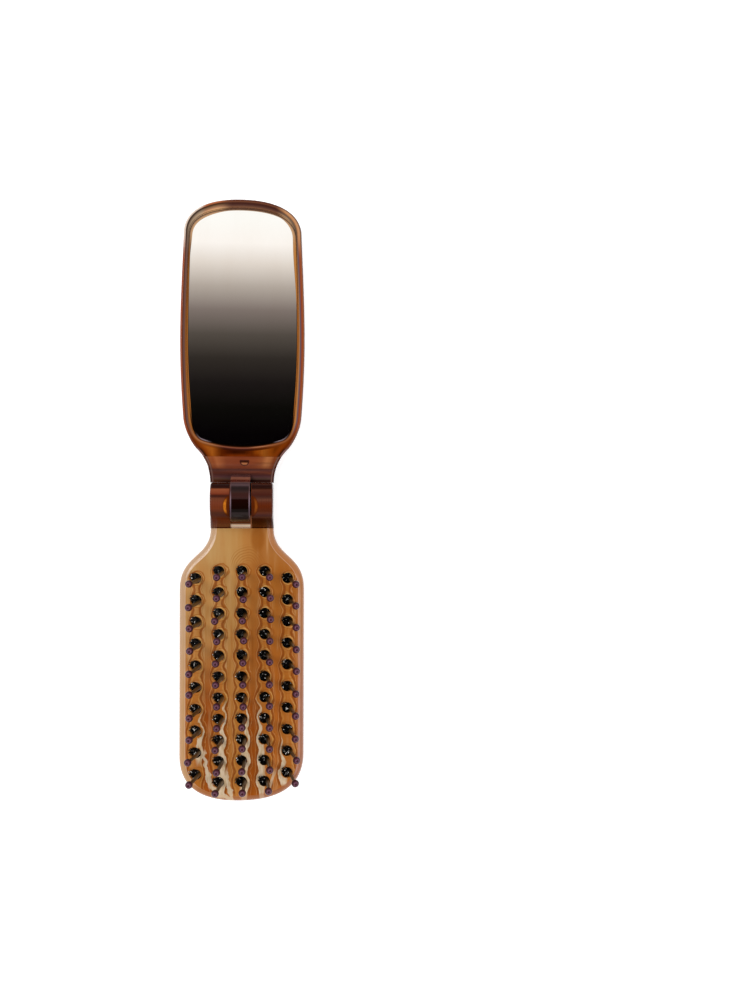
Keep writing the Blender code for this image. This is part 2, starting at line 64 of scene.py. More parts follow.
MM = 0.001
SEAM = 0.03 * MM
OVERRUN = 4 * MM
CUT_HALF_WIDTH = 0.02
WIDE_CUT_HALF_WIDTH = 0.03
RIM_INNER = 3 * MM

# Joints between pieces, measured from the hinge axis
PIVOT_HEIGHT = 13 * MM
BODY_JOINT = 8.2 * MM
SHOULDER_AT = 26.5 * MM
END_CURVE_LENGTH = 14 * MM
LEAF_END = 5.36 * MM
NECK_CURVE_FROM = 5.6 * MM
SHELL_JOINT = 13.2 * MM
MIRROR_TOP_LENGTH = 42 * MM
GLASS_START = GLASS_LOW.y

# Tuft holes and tufts
HOLE_DEPTH = 5.2 * MM
HOLE_MOUTH = 0.15 * MM
COLUMN_PITCH = 6.75 * MM
COLUMN_FAN = math.radians(5.6)
LONG_COLUMN = {"start": 21.0 * MM, "step": 6.29 * MM, "rows": 11}
SHORT_COLUMN = {"start": 23.1 * MM, "step": 6.4833 * MM, "rows": 10}
COLUMNS = (SHORT_COLUMN, LONG_COLUMN, LONG_COLUMN, LONG_COLUMN, SHORT_COLUMN)
TUFT_SWAY = math.radians(0.9)
TUFT_LEAN = math.radians(3.3)
TUFT_SIDE_LEAN = math.radians(1.9)
TUFT_LEAN_CHANGE = math.radians(-39)
TUFT_SIDE_CHANGE = math.radians(103)
TUFT_TWIST = math.radians(15)
SWAY_SEED = 3
LEAN_SEED = 7
HEIGHT_SEED = 5
GOLDEN_ANGLE = 2.39996
CLUMP_RADIUS = 0.9 * MM
CLUMP_OFFSET = -0.14 * MM
BRISTLE_FOOT = 0.4 * MM
BRISTLE_FOOT_SHARE = 1.2
BRISTLE_SPLAY = 32.0
BRISTLE_LEAN = ((-0.21, -0.16, 0), (-0.04, 0.01, 0))
BRISTLE_HEIGHTS = (0.8, 1.08)
PIN_START = (0.5 * MM, 0, 0.5 * MM)
PIN_MIDDLE = (1.1 * MM, 0, 6.4 * MM)
ROOT_RADIUS = 1.25 * MM
ROOT_HEIGHT = 0.9 * MM
ROOT_MIDDLE = 0.75 * MM

# Hinge block and leaf
BARREL_RADIUS = 5.3 * MM
BARREL_BACK = math.radians(156)
SLOT_HALF_WIDTH = 3.1 * MM
SLOT_SHIFT = -0.25 * MM
SLOT_RADIUS = 6.5 * MM
FLOOR_REAR = 3.1 * MM
CHEEK_DRAFT = 0.35 * MM
CHEEK_SKIN = 0.6 * MM
TONGUE_RADIUS = 6.0 * MM
TONGUE_HALF_WIDTH = 2.85 * MM
TONGUE_SHIFT = -0.4 * MM
TONGUE_CORNER = math.radians(40)
TONGUE_EDGE = 0.25 * MM
DOME_BASE_RADIUS = 3.0 * MM
DOME_HEIGHT = 1.9 * MM
DIMPLE_ROOM = 0.3 * MM
LEAF_HEIGHT = 8.5 * MM
LEAF_CREST = 2.4 * MM
LEAF_FOOT = 1.8 * MM
LEAF_GRID = 0.6 * MM

# Tray, glue and glass
SHELL_SPIGOT_BOTTOM = 1.9 * MM
SHELL_SPIGOT_TOP = 3.6 * MM
SHELL_SPIGOT_END = 9.8 * MM
SHELL_SPIGOT_HALF_WIDTH = 7.8 * MM
SEAM_MIDDLE = 11.85 * MM
SEAM_SIDE_DROP = 1.1 * MM
LUG_RADIUS = 1.05 * MM
LUG_OFFSET = 0.6 * MM
LUG_AT = 11.65 * MM
LUG_TOP = 5.2 * MM
LUG_ROOM = 0.15 * MM
BACK_WINDOW_AT = 10.8 * MM
SEAT_FLOOR = 1.8 * MM
SEAT_ROOM = 0.06 * MM
LIP_ROOM = 0.3 * MM
TRAY_RIM_INNER = 3.2 * MM
TRAY_GRID = 0.9 * MM
GLUE_INSET = 1.5 * MM
GLUE_FILM = 0.2 * MM
GLUE_DOT_FOOT = 0.1 * MM
GLASS_EDGE = 0.3 * MM
GLASS_BACK_EDGE = 0.05 * MM
GLASS_RIM_INNER = 1.4 * MM
# Each pair of glue dots, in millimetres: its place along and its radius.
GLUE_DOTS = ((23.5, 3.8), (52.2, 3.5), (80.8, 3.2))
GLUE_DOTS_ACROSS = 10.1

# Outlines are cubic curves. Each row gives a curve's two handles and its end, as shares across and along.
BRUSH_NECK_SHARES = (((0, 0.49), (1, 0.42), (1, 1)),)
BRUSH_END_SHARES = (((1, 0.72), (0.62, 1), (0, 1)),)
MIRROR_TOP_SHARES = (((1, 0.286), (0.959, 0.571), (0.943, 0.774)), ((0.911, 0.905), (0.622, 1), (0, 1)))
MIRROR_LOW_SHARES = (
    ((1, 0.764), (0.934, 0.552), (0.896, 0.446)),
    ((0.858, 0.363), (0.617, 0.264), (0.432, 0.226)),
    ((0.202, 0.177), (0, 0.092), (0, 0)),
)
GLASS_TOP_SHARES = (((1, 0.304), (0.976, 0.557), (0.961, 0.785)), ((0.945, 0.915), (0.636, 0.991), (0, 0.991)))
GLASS_LOW_SHARES = (
    ((1, 0.717), (0.958, 0.434), (0.933, 0.277)),
    ((0.912, 0.151), (0.836, 0.079), (0.709, 0.055)),
    ((0.558, 0.028), (0.273, 0), (0, 0)),
)

# Steps of curves, and sides of round things
CURVE_STEPS = 20
ARC_STEPS = 32
BARREL_STEPS = 48
SLOT_STEPS = 40
TONGUE_STEPS = 64
HOLE_SIDES = 28
GLUE_DOT_SIDES = 32
DOME_SEGMENTS = 48
EDGE_STEPS = 7
OUTLINE_STEPS = 24
SHARP_ANGLE = math.radians(35)
NODES_A_ROW = 12
NODE_WIDTH = 190
NODE_HEIGHT = 260

# Stage, in metres and radians
CAMERA_LENS = 36.95
CAMERA_PLACE = (0.00733, 0.00287, 0.3150)
CAMERA_AIM = (0.03974, 0.00029, 0.007)
CAMERA_ROLL = 0.00347
FLOOR_PLACE = (0, 0, -0.0001)
FLOOR_HALF_SIZES = (6, 6)
LAMPS = (("key", (-0.35, 0.25, 0.8), 0.5, 5), ("fill", (0.45, -0.2, 0.7), 0.6, 2.5))
CARD_PLACE = (0, 0.085, 0.105)
CARD_HALF_SIZES = (0.07, 0.075)
SOFT_LIGHT = (0.62, 0.62, 0.62)
GLOSSY_LIGHT = (0.65, 0.65, 0.65)
GLOSSY_DARK = (0.004, 0.004, 0.004)


def tone(code):
    """A colour written as six hexadecimal digits, turned into scene linear values."""
    parts = [int(code[i : i + 2], 16) / 255 for i in (0, 2, 4)]
    return tuple(p / 12.92 if p <= 0.04045 else ((p + 0.055) / 1.055) ** 2.4 for p in parts)


# Settings


def length(name, description, default):
    return bpy.props.FloatProperty(
        name=name, description=description, default=default, min=0, unit="LENGTH", subtype="DISTANCE", precision=5
    )


def colour(name, description, code):
    return bpy.props.FloatVectorProperty(
        name=name, description=description, default=tone(code), size=3, min=0, max=1, subtype="COLOR"
    )


class HairbrushSizes(bpy.types.PropertyGroup):
    half_width: length("Half width", "From the middle to the side of both halves", BODY_HIGH.x)
    neck_half_width: length("Neck half width", "From the middle to the side of the neck", CLEVIS_HIGH.x)
    brush_reach: length("Brush reach", "From the hinge axis to the end of the brush half", -BODY_LOW.y)
    mirror_reach: length("Mirror reach", "From the hinge axis to the end of the mirror half", SHELL_HIGH.y)
    brush_thickness: length("Brush thickness", "Thickness of the brush plate", BODY_HIGH.z)
    mirror_thickness: length("Mirror thickness", "Thickness of the mirror tray", SHELL_HIGH.z)
    brush_edge: length("Brush edge", "Rounding of the brush plate's edges", 1.9 * MM)
    tray_edge: length("Tray edge", "Rounding of the tray's back edge", 2.2 * MM)
    tray_lip: length("Tray lip", "Rounding of the tray's front edge", 0.6 * MM)
    hinge_edge: length("Hinge edge", "Rounding of the hinge block's sides", 0.5 * MM)
    hole_radius: length("Hole radius", "Radius of a tuft hole", 1.55 * MM)
    bristle_radius: length("Bristle radius", "Radius of one bristle", 0.13 * MM)
    bristle_proud: length("Bristle height", "How far the bristles stand out of their hole", 1.6 * MM)
    pin_radius: length("Pin radius", "Radius of a pin at its root", 0.62 * MM)
    pin_proud: length("Pin height", "From the plate to the middle of a pin's ball", 11.4 * MM)
    ball_radius: length("Ball radius", "Radius of a pin's ball tip", 1.1 * MM)
    bristles: bpy.props.IntProperty(name="Bristles", description="Bristles in a tuft", default=60, min=6, max=90)


class HairbrushColours(bpy.types.PropertyGroup):
    caramel: colour("Caramel", "The brush plate's main colour", "B5834A")
    pale_caramel: colour("Pale caramel", "The brush plate's lighter side", "C39C6A")
    cream: colour("Cream", "Streaks beside the tufts", "C9B79C")
    amber: colour("Amber", "Bands between the tufts", "9C5216")
    dark_amber: colour("Dark amber", "Thin lines round the tufts", "7E3D0C")
    tray: colour("Tray", "The mirror tray's amber", "7D3D09")
    tray_dark: colour("Tray, deep", "The darker part of the tray's back", "430E00")
    glow: colour("Glow", "Where light leaves the plastic", "B86A1C")
    silver: colour("Silver", "The mirror's silver", "FEFDFB")
    glue: colour("Glue", "The glue under the mirror", "A06A30")
    bristle: colour("Bristle", "The bristles", "060506")
    pin: colour("Pin", "The pins", "463210")
    ball: colour("Ball", "The ball tips", "3C1630")
    floor: colour("Floor", "The floor", "E8E8E8")


def sizes():
    return bpy.context.scene.hairbrush_sizes


def colours():
    return bpy.context.scene.hairbrush_colours


# Outlines


def cubic(start, handle_1, handle_2, end):
    """Points along a cubic curve, without its start."""
    points = []
    for i in range(1, CURVE_STEPS + 1):
        t = i / CURVE_STEPS
        s = 1 - t
        weights = (s**3, 3 * s * s * t, 3 * s * t * t, t**3)
        corners = (start, handle_1, handle_2, end)
        points.append(tuple(sum(w * c[k] for w, c in zip(weights, corners)) for k in (0, 1)))
    return points


def share_curve(start, shares, low, high):
    """Points through a table of shares, measured from low to high."""
    points = [start]
    for row in shares:
        corners = [tuple(a + s * (b - a) for a, b, s in zip(low, high, share)) for share in row]
        points += cubic(points[-1], *corners)
    return points


def mirrored(side):
    """The whole outline whose right side this is."""
    return side + [(-x, y) for x, y in reversed(side) if x > 0]


def brush_side():
    """The right side of the brush plate, from past its neck joint to the middle of its end."""
    s = sizes()
    end_at = -(s.brush_reach - END_CURVE_LENGTH)
    neck = (s.neck_half_width, -BODY_JOINT)
    side = [(s.neck_half_width, OVERRUN - BODY_JOINT)]
    side += share_curve(neck, BRUSH_NECK_SHARES, neck, (s.half_width, -SHOULDER_AT))
    last = side[-1][1]
    side += [(s.half_width, last + (end_at - last) * i / ARC_STEPS) for i in range(1, ARC_STEPS)]
    return side + share_curve((s.half_width, end_at), BRUSH_END_SHARES, (0, end_at), (s.half_width, -s.brush_reach))


def tray_side():
    """The right side of the mirror half, from past the neck's end to the middle of its top."""
    s = sizes()
    widest = (s.half_width, s.mirror_reach - MIRROR_TOP_LENGTH)
    low = share_curve(widest, MIRROR_LOW_SHARES, (s.neck_half_width, NECK_CURVE_FROM), widest)
    top = share_curve(widest, MIRROR_TOP_SHARES, (0, widest[1]), (s.half_width, s.mirror_reach))
    return [(s.neck_half_width, LEAF_END - OVERRUN)] + low[::-1] + top[1:]


def glass_side(grown=0):
    """The right side of the mirror plate, from the middle of its foot to the middle of its top."""
    s = sizes()
    widest = (GLASS_HIGH.x + grown, s.mirror_reach - MIRROR_TOP_LENGTH)
    low = share_curve(widest, GLASS_LOW_SHARES, (0, GLASS_START - grown), widest)
    top = share_curve(widest, GLASS_TOP_SHARES, (0, widest[1]), (widest[0], GLASS_HIGH.y + grown))
    return low[::-1] + top[1:]


def arc(centre, radius, start, end, steps=ARC_STEPS):
    """Points of an arc, both ends included, with angles in radians."""
    angles = [start + (end - start) * i / steps for i in range(steps + 1)]
    return [(centre[0] + radius * math.cos(a), centre[1] + radius * math.sin(a)) for a in angles]


def lug_outline(flat_edge, grown=0):
    """A half-round, flat towards the mirror."""
    return arc((LUG_OFFSET, flat_edge + grown), LUG_RADIUS + grown, -math.pi, 0)


def seam_outline(half_width, shift, edge):
    """From the curved seam across the back, moved by shift, to a straight edge."""
    places = [half_width * (2 * i / ARC_STEPS - 1) for i in range(ARC_STEPS + 1)]
    drop = SEAM_SIDE_DROP / sizes().neck_half_width ** 2
    seam = [(x, SEAM_MIDDLE - drop * x * x + shift) for x in places]
    return seam + [(half_width, edge), (-half_width, edge)]


# Meshes


def new_piece(name, shape):
    """An object with this shape's mesh."""
    mesh = bpy.data.meshes.new(name)
    bmesh.ops.recalc_face_normals(shape, faces=shape.faces)
    shape.to_mesh(mesh)
    shape.free()
    made = bpy.data.objects.new(name, mesh)
    bpy.context.scene.collection.objects.link(made)
    return made


def prism(name, outline, low, high):
    """An upright solid with this outline."""
    shape = bmesh.new()
    rings = [[shape.verts.new((x, y, z)) for x, y in outline] for z in (low, high)]
    shape.faces.new(rings[0][::-1])
    shape.faces.new(rings[1])
    for i in range(len(outline)):
        j = (i + 1) % len(outline)
        shape.faces.new((rings[0][i], rings[0][j], rings[1][j], rings[1][i]))
    return new_piece(name, shape)


def bar(name, profile, half_width):
    """A profile in Y and Z, run along X to both sides."""
    made = prism(name, profile, -half_width, half_width)
    made.data.transform(Matrix(((0, 0, 1, 0), (1, 0, 0, 0), (0, 1, 0, 0), (0, 0, 0, 1))))
    return made


def shifted(made, across):
    """Moves a mesh sideways."""
    made.data.transform(Matrix.Translation((across, 0, 0)))
    return made


def block(name, low, high):
    """A box between two corners."""
    outline = [(low[0], low[1]), (high[0], low[1]), (high[0], high[1]), (low[0], high[1])]
    return prism(name, outline, low[2], high[2])


def rounded_edge(low, high, low_edge, high_edge, inner):
    """A plate's section, as pairs of inset and height from the back round the rim to the front."""
    section = [(inner, low), (low_edge + 0.1 * MM, low)]
    section += [(low_edge - x, low + low_edge - z) for x, z in arc((0, 0), low_edge, math.pi / 2, 0, EDGE_STEPS)]
    section += [(high_edge - x, high - high_edge + z) for x, z in arc((0, 0), high_edge, 0, math.pi / 2, EDGE_STEPS)]
    return section + [(high_edge + 0.1 * MM, high), (inner, high)]


def plate(name, side, section):
    """A plate with a rounded rim. side runs from the neck or the foot's middle to the middle of the end."""
    path = mirrored(side)
    count = len(path)
    closed = side[0][0] < 1e-7
    shape = bmesh.new()
    grid = []
    for i, (x, y) in enumerate(path):
        before = path[i - 1] if closed or i else path[i]
        after = path[(i + 1) % count] if closed or i < count - 1 else path[i]
        along = Vector((after[0] - before[0], after[1] - before[1])).normalized()
        inward = Vector((-along.y, along.x))
        if inward.dot(Vector((-x, 0 if abs(x) > MM else (path[0][1] + side[-1][1]) / 2 - y))) < 0:
            inward.negate()
        if abs(x) < 1e-7:
            inward.x = 0
        grid.append([shape.verts.new((x + inward.x * inset, y + inward.y * inset, z)) for inset, z in section])
    for i in range(count if closed else count - 1):
        one, two = grid[i], grid[(i + 1) % count]
        for k in range(len(section) - 1):
            shape.faces.new((one[k], two[k], two[k + 1], one[k + 1]))
    shape.faces.new([column[0] for column in grid])
    shape.faces.new([column[-1] for column in grid][::-1])
    if not closed:
        shape.faces.new(grid[0] + grid[-1][::-1])
    return new_piece(name, shape)


def turned(name, profile, sides, places):
    """A solid of revolution, from pairs of radius and height, at each of the places."""
    shape = bmesh.new()
    for place in places:
        rings = []
        for radius, height in profile:
            points = arc((0, 0), radius, 0, 2 * math.pi, sides)[:-1]
            rings.append([shape.verts.new(place @ Vector((x, y, height))) for x, y in points])
        shape.faces.new(rings[0][::-1])
        shape.faces.new(rings[-1])
        for low, high in zip(rings, rings[1:]):
            for i in range(sides):
                j = (i + 1) % sides
                shape.faces.new((low[i], low[j], high[j], high[i]))
    return new_piece(name, shape)


def shape_with(target, operation, *tools):
    """Cuts, joins or intersects the target with the tools, and removes them."""
    for tool in tools:
        step = target.modifiers.new(tool.name, "BOOLEAN")
        step.object = tool
        step.operation = operation
    apply_modifiers(target)
    for tool in tools:
        bpy.data.objects.remove(tool)


def apply_modifiers(target):
    bpy.context.view_layer.update()
    graph = bpy.context.evaluated_depsgraph_get()
    mesh = bpy.data.meshes.new_from_object(target.evaluated_get(graph))
    mesh.name = target.name
    target.modifiers.clear()
    old = target.data
    target.data = mesh
    bpy.data.meshes.remove(old)


def soften_rims(target, low, high, width):
    """Rounds the rims at both ends of a bar."""
    shape = bmesh.new()
    shape.from_mesh(target.data)
    weight = shape.edges.layers.float.new("bevel_weight_edge")
    for edge in shape.edges:
        if any(all(abs(v.co.x - end) < 1e-6 for v in edge.verts) for end in (low, high)):
            edge[weight] = 1
    shape.to_mesh(target.data)
    shape.free()
    bevel = target.modifiers.new("rims", "BEVEL")
    bevel.width = width
    bevel.segments = EDGE_STEPS
    bevel.limit_method = "WEIGHT"
    bevel.use_clamp_overlap = False
    apply_modifiers(target)


def slice_faces(target, step):
    """Cuts the faces on a grid seen from above, so that measured lengths hold inside wide faces too."""
    shape = bmesh.new()
    shape.from_mesh(target.data)
    for axis in (0, 1):
        low = min(v.co[axis] for v in shape.verts)
        high = max(v.co[axis] for v in shape.verts)
        normal = Vector((axis == 0, axis == 1, 0))
        for i in range(1, int((high - low) / step)):
            parts = shape.verts[:] + shape.edges[:] + shape.faces[:]
            bmesh.ops.bisect_plane(shape, geom=parts, dist=1e-7, plane_co=normal * (low + i * step), plane_no=normal)
    shape.to_mesh(target.data)
    shape.free()


def measure(target, name, outline):
    """Stores each vertex's distance from the outline, which the finishes read."""
    tree = kdtree.KDTree(len(outline) * OUTLINE_STEPS)
    for i, (x, y) in enumerate(outline):
        x2, y2 = outline[(i + 1) % len(outline)]
        for k in range(OUTLINE_STEPS):
            share = k / OUTLINE_STEPS
            tree.insert((x + (x2 - x) * share, y + (y2 - y) * share, 0), i * OUTLINE_STEPS + k)
    tree.balance()
    layer = target.data.attributes.new(name, "FLOAT", "POINT")
    layer.data.foreach_set("value", [tree.find((v.co.x, v.co.y, 0))[2] for v in target.data.vertices])


def complete(target, finish, body, nodes):
    """Gives a finished mesh its material and its place on the frame."""
    mesh = target.data
    mesh.materials.clear()
    mesh.materials.append(finish)
    mesh.shade_smooth()
    mesh.set_sharp_from_angle(angle=SHARP_ANGLE)
    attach(target, body)
    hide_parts(*nodes)


# Finishes. Their numbers are places and widths in millimetres, and shares from 0 to 1.


def shade(value):
    """A colour as a node takes it, from a node's value, six digits, the name of a setting or three numbers."""
    if isinstance(value, Value):
        return value
    if isinstance(value, str):
        value = getattr(colours(), value) if hasattr(colours(), value) else tone(value)
    return (*value[:3], 1)


def adds(operation, swapped=False):
    """A method of a value that adds this math node."""

    def method(value, *others):
        return value.draw.math(operation, *((*others, value) if swapped else (value, *others)))

    return method


class Value:
    """A node's output. Sums, products and the like add nodes: | takes the larger value and & the smaller."""

    __add__, __radd__ = adds("ADD"), adds("ADD", True)
    __sub__, __rsub__ = adds("SUBTRACT"), adds("SUBTRACT", True)
    __mul__, __rmul__ = adds("MULTIPLY"), adds("MULTIPLY", True)
    __truediv__, __pow__, __abs__ = adds("DIVIDE"), adds("POWER"), adds("ABSOLUTE")
    __or__, __and__ = adds("MAXIMUM"), adds("MINIMUM")
    __lt__, __gt__ = adds("LESS_THAN"), adds("GREATER_THAN")
    root, whole, sign = adds("SQRT"), adds("ROUND"), adds("SIGN")
    sine, cosine = adds("SINE"), adds("COSINE")

    def __init__(self, draw, socket):
        self.draw = draw
        self.socket = socket

    def hypot(self, other):
        """The root of the sum of two squares."""
        return (self * self + other * other).root()

    def span(self, low, high, first=0, last=1, **settings):
        """Runs from first to last as the value runs from low to high."""
        inputs = {"Value": self, "From Min": low, "From Max": high, "To Min": first, "To Max": last}
        return self.draw.add("ShaderNodeMapRange", inputs, **settings)[0]

    def rise(self, low, high):
        """0 below low and 1 above high, or the other way round."""
        return self.span(low, high, interpolation_type="SMOOTHSTEP")

    def band(self, low, high, soft):
        """1 from low to high, with soft sides."""
        return self.rise(low - soft, low + soft) * self.rise(high + soft, high - soft)

    def mix(self, one, two):
        """Runs from one colour to the other as the value runs from 0 to 1."""
        return self.draw.mix(self, one, two)

    def ramp(self, text):
        """A colour ramp. The text gives each stop as a place and a colour."""
        stops = [(float(place), shade(code)) for place, code in (stop.split() for stop in text.split(", "))]
        low, high = stops[0][0], stops[-1][0]
        node = self.draw.add("ShaderNodeValToRGB", (self.span(low, high),))
        elements = node.node.color_ramp.elements
        while len(elements) < len(stops):
            elements.new(1)
        for element, (place, _) in zip(elements, stops):
            element.position = (place - low) / (high - low)
        for element, (_, paint) in zip(elements, stops):
            element.color = paint
        return node[0]

    def noise(self, scale, detail=2, stretch=(1, 1, 1)):
        """Soft noise from 0 to 1 over this vector, drawn out along the axes with a small stretch."""
        spread = self.draw.add("ShaderNodeVectorMath", (self, stretch), operation="MULTIPLY")[0]
        return self.draw.add("ShaderNodeTexNoise", {"Vector": spread, "Scale": scale, "Detail": detail})["Fac"]

    def parts(self):
        """The three parts of a vector."""
        split = self.draw.add("ShaderNodeSeparateXYZ", (self,))
        return split[0], split[1], split[2]


class Added:
    """A node in a tree, with its outputs by number or name."""

    def __init__(self, draw, node):
        self.draw = draw
        self.node = node

    def __getitem__(self, key):
        return Value(self.draw, self.node.outputs[key])


class Nodes:
    """Adds nodes to one tree."""

    def __init__(self, tree):
        self.tree = tree

    def feed(self, node, inputs):
        """Links values to a node's inputs, by number or name, or sets them."""
        for key, value in inputs.items() if isinstance(inputs, dict) else enumerate(inputs):
            if isinstance(value, Value):
                self.tree.links.new(value.socket, node.inputs[key])
            else:
                node.inputs[key].default_value = value

    def add(self, kind, inputs=(), **settings):
        node = self.tree.nodes.new(kind)
        row, column = divmod(len(self.tree.nodes), NODES_A_ROW)
        node.location = (column * NODE_WIDTH, -row * NODE_HEIGHT)
        for key, value in settings.items():
            setattr(node, key, value)
        self.feed(node, inputs)
        return Added(self, node)

    def math(self, operation, *values):
        return self.add("ShaderNodeMath", values, operation=operation)[0]

    def mix(self, factor, one, two, blend="MIX"):
        inputs = {0: factor, 6: shade(one), 7: shade(two)}
        return self.add("ShaderNodeMix", inputs, data_type="RGBA", blend_type=blend)[2]

    def join(self, x, y, z):
        """A vector of three values."""
        return self.add("ShaderNodeCombineXYZ", (x, y, z))[0]

    def place(self):
        """Object coordinates in millimetres, as a vector and its three parts."""
        source = self.add("ShaderNodeTexCoord")["Object"]
        vector = self.add("ShaderNodeVectorMath", (source, (1 / MM,) * 3), operation="MULTIPLY")[0]
        return vector, *vector.parts()

    def attribute(self, name):
        """A stored length, in millimetres."""
        return self.add("ShaderNodeAttribute", attribute_name=name)["Fac"] * (1 / MM)

    def upward(self):
        """The height part of the surface's direction in the object's own space, 1 up and -1 down."""
        return self.add("ShaderNodeTexCoord")["Normal"].parts()[2]

    def group(self, tree, **inputs):
        return self.add("ShaderNodeGroup", {key.capitalize(): value for key, value in inputs.items()}, node_tree=tree)


class Finish(Nodes):
    """A material, with its nodes and its shader."""

    def __init__(self, name, roughness=0.12, specular=0.5):
        self.material = bpy.data.materials.new(name)
        self.material.use_nodes = True
        super().__init__(self.material.node_tree)
        self.shader = self.tree.nodes["Principled BSDF"]
        self.feed(self.shader, {"Roughness": roughness, "Specular IOR Level": specular})

    def surface(self, shader):
        self.feed(self.tree.nodes["Material Output"], {"Surface": shader})
        return self.material

    def moulded(self, base, vector, roughness=0.12, wear=0.05):
        """Paints the material in its base colours, with the fine wear of moulded plastic."""
        worn = self.group(moulded_group(), vector=vector, roughness=roughness, wear=wear)
        bump = self.add("ShaderNodeBump", {"Strength": 0.02, "Distance": MM, "Height": worn["Height"]})[0]
        self.feed(self.shader, {"Base Color": base, "Roughness": worn["Roughness"], "Normal": bump})
        return self.material


def shader_group(name, inputs, shape_of):
    """A shader node group with these inputs, set to their defaults. shape_of returns its outputs by name."""
    if name in bpy.data.node_groups:
        return bpy.data.node_groups[name]
    tree = bpy.data.node_groups.new(name, "ShaderNodeTree")
    for label, default in inputs.items():
        kind = "NodeSocketVector" if default is None else "NodeSocketFloat"
        socket = tree.interface.new_socket(label, in_out="INPUT", socket_type=kind)
        if default is not None:
            socket.default_value = default
    draw = Nodes(tree)
    made = shape_of(draw.add("NodeGroupInput"))
    for label in made:
        tree.interface.new_socket(label, in_out="OUTPUT", socket_type="NodeSocketFloat")
    draw.add("NodeGroupOutput", made)
    return tree


def moulded_group():
    """Fine wear of moulded plastic: small changes of roughness, and a shallow ripple for the surface."""

    def shape_of(given):
        broad = given["Vector"].noise(0.25, 3)
        fine = given["Vector"].noise(2.2, 4, (1, 0.3, 1))
        return {"Roughness": given["Roughness"] + (broad + fine - 1.0) * given["Wear"], "Height": broad}

    return shader_group("Moulded surface", {"Vector": None, "Roughness": 0.12, "Wear": 0.05}, shape_of)


def hole_field_group():
    """Finds the nearest tuft hole. Lengths in millimetres, Y towards the mirror."""

    def shape_of(given):
        outermost = (len(COLUMNS) - 1) / 2
        column = (given["X"] / (COLUMN_PITCH / MM)).whole() & outermost | -outermost
        outer = abs(column) > outermost - 0.5

        def pick(key, scale):
            long, short = LONG_COLUMN[key] / scale, SHORT_COLUMN[key] / scale
            return outer * (short - long) + long

        start, step, rows = pick("start", MM), pick("step", MM), pick("rows", 1)
        down = given["Y"] * -1.0 - start
        row = (down / step).whole() | 0.0
        row = row & rows - 1.0
        across = given["X"] - column * (COLUMN_PITCH / MM)
        along = row * step - down
        square = across * across + along * along
        distance = square.root()
        above = (row < 0.5) * (along > 0.0)
        base = above * distance + (1.0 - above) * abs(across)
        contour = base * (1.0 - given["Core"] * given["Core"] / square)
        return {"Column": column, "Across": across, "Along": along, "Distance": distance, "Contour": contour}

    return shader_group("Nearest tuft hole", {"X": 0.0, "Y": 0.0, "Core": 1.7}, shape_of)


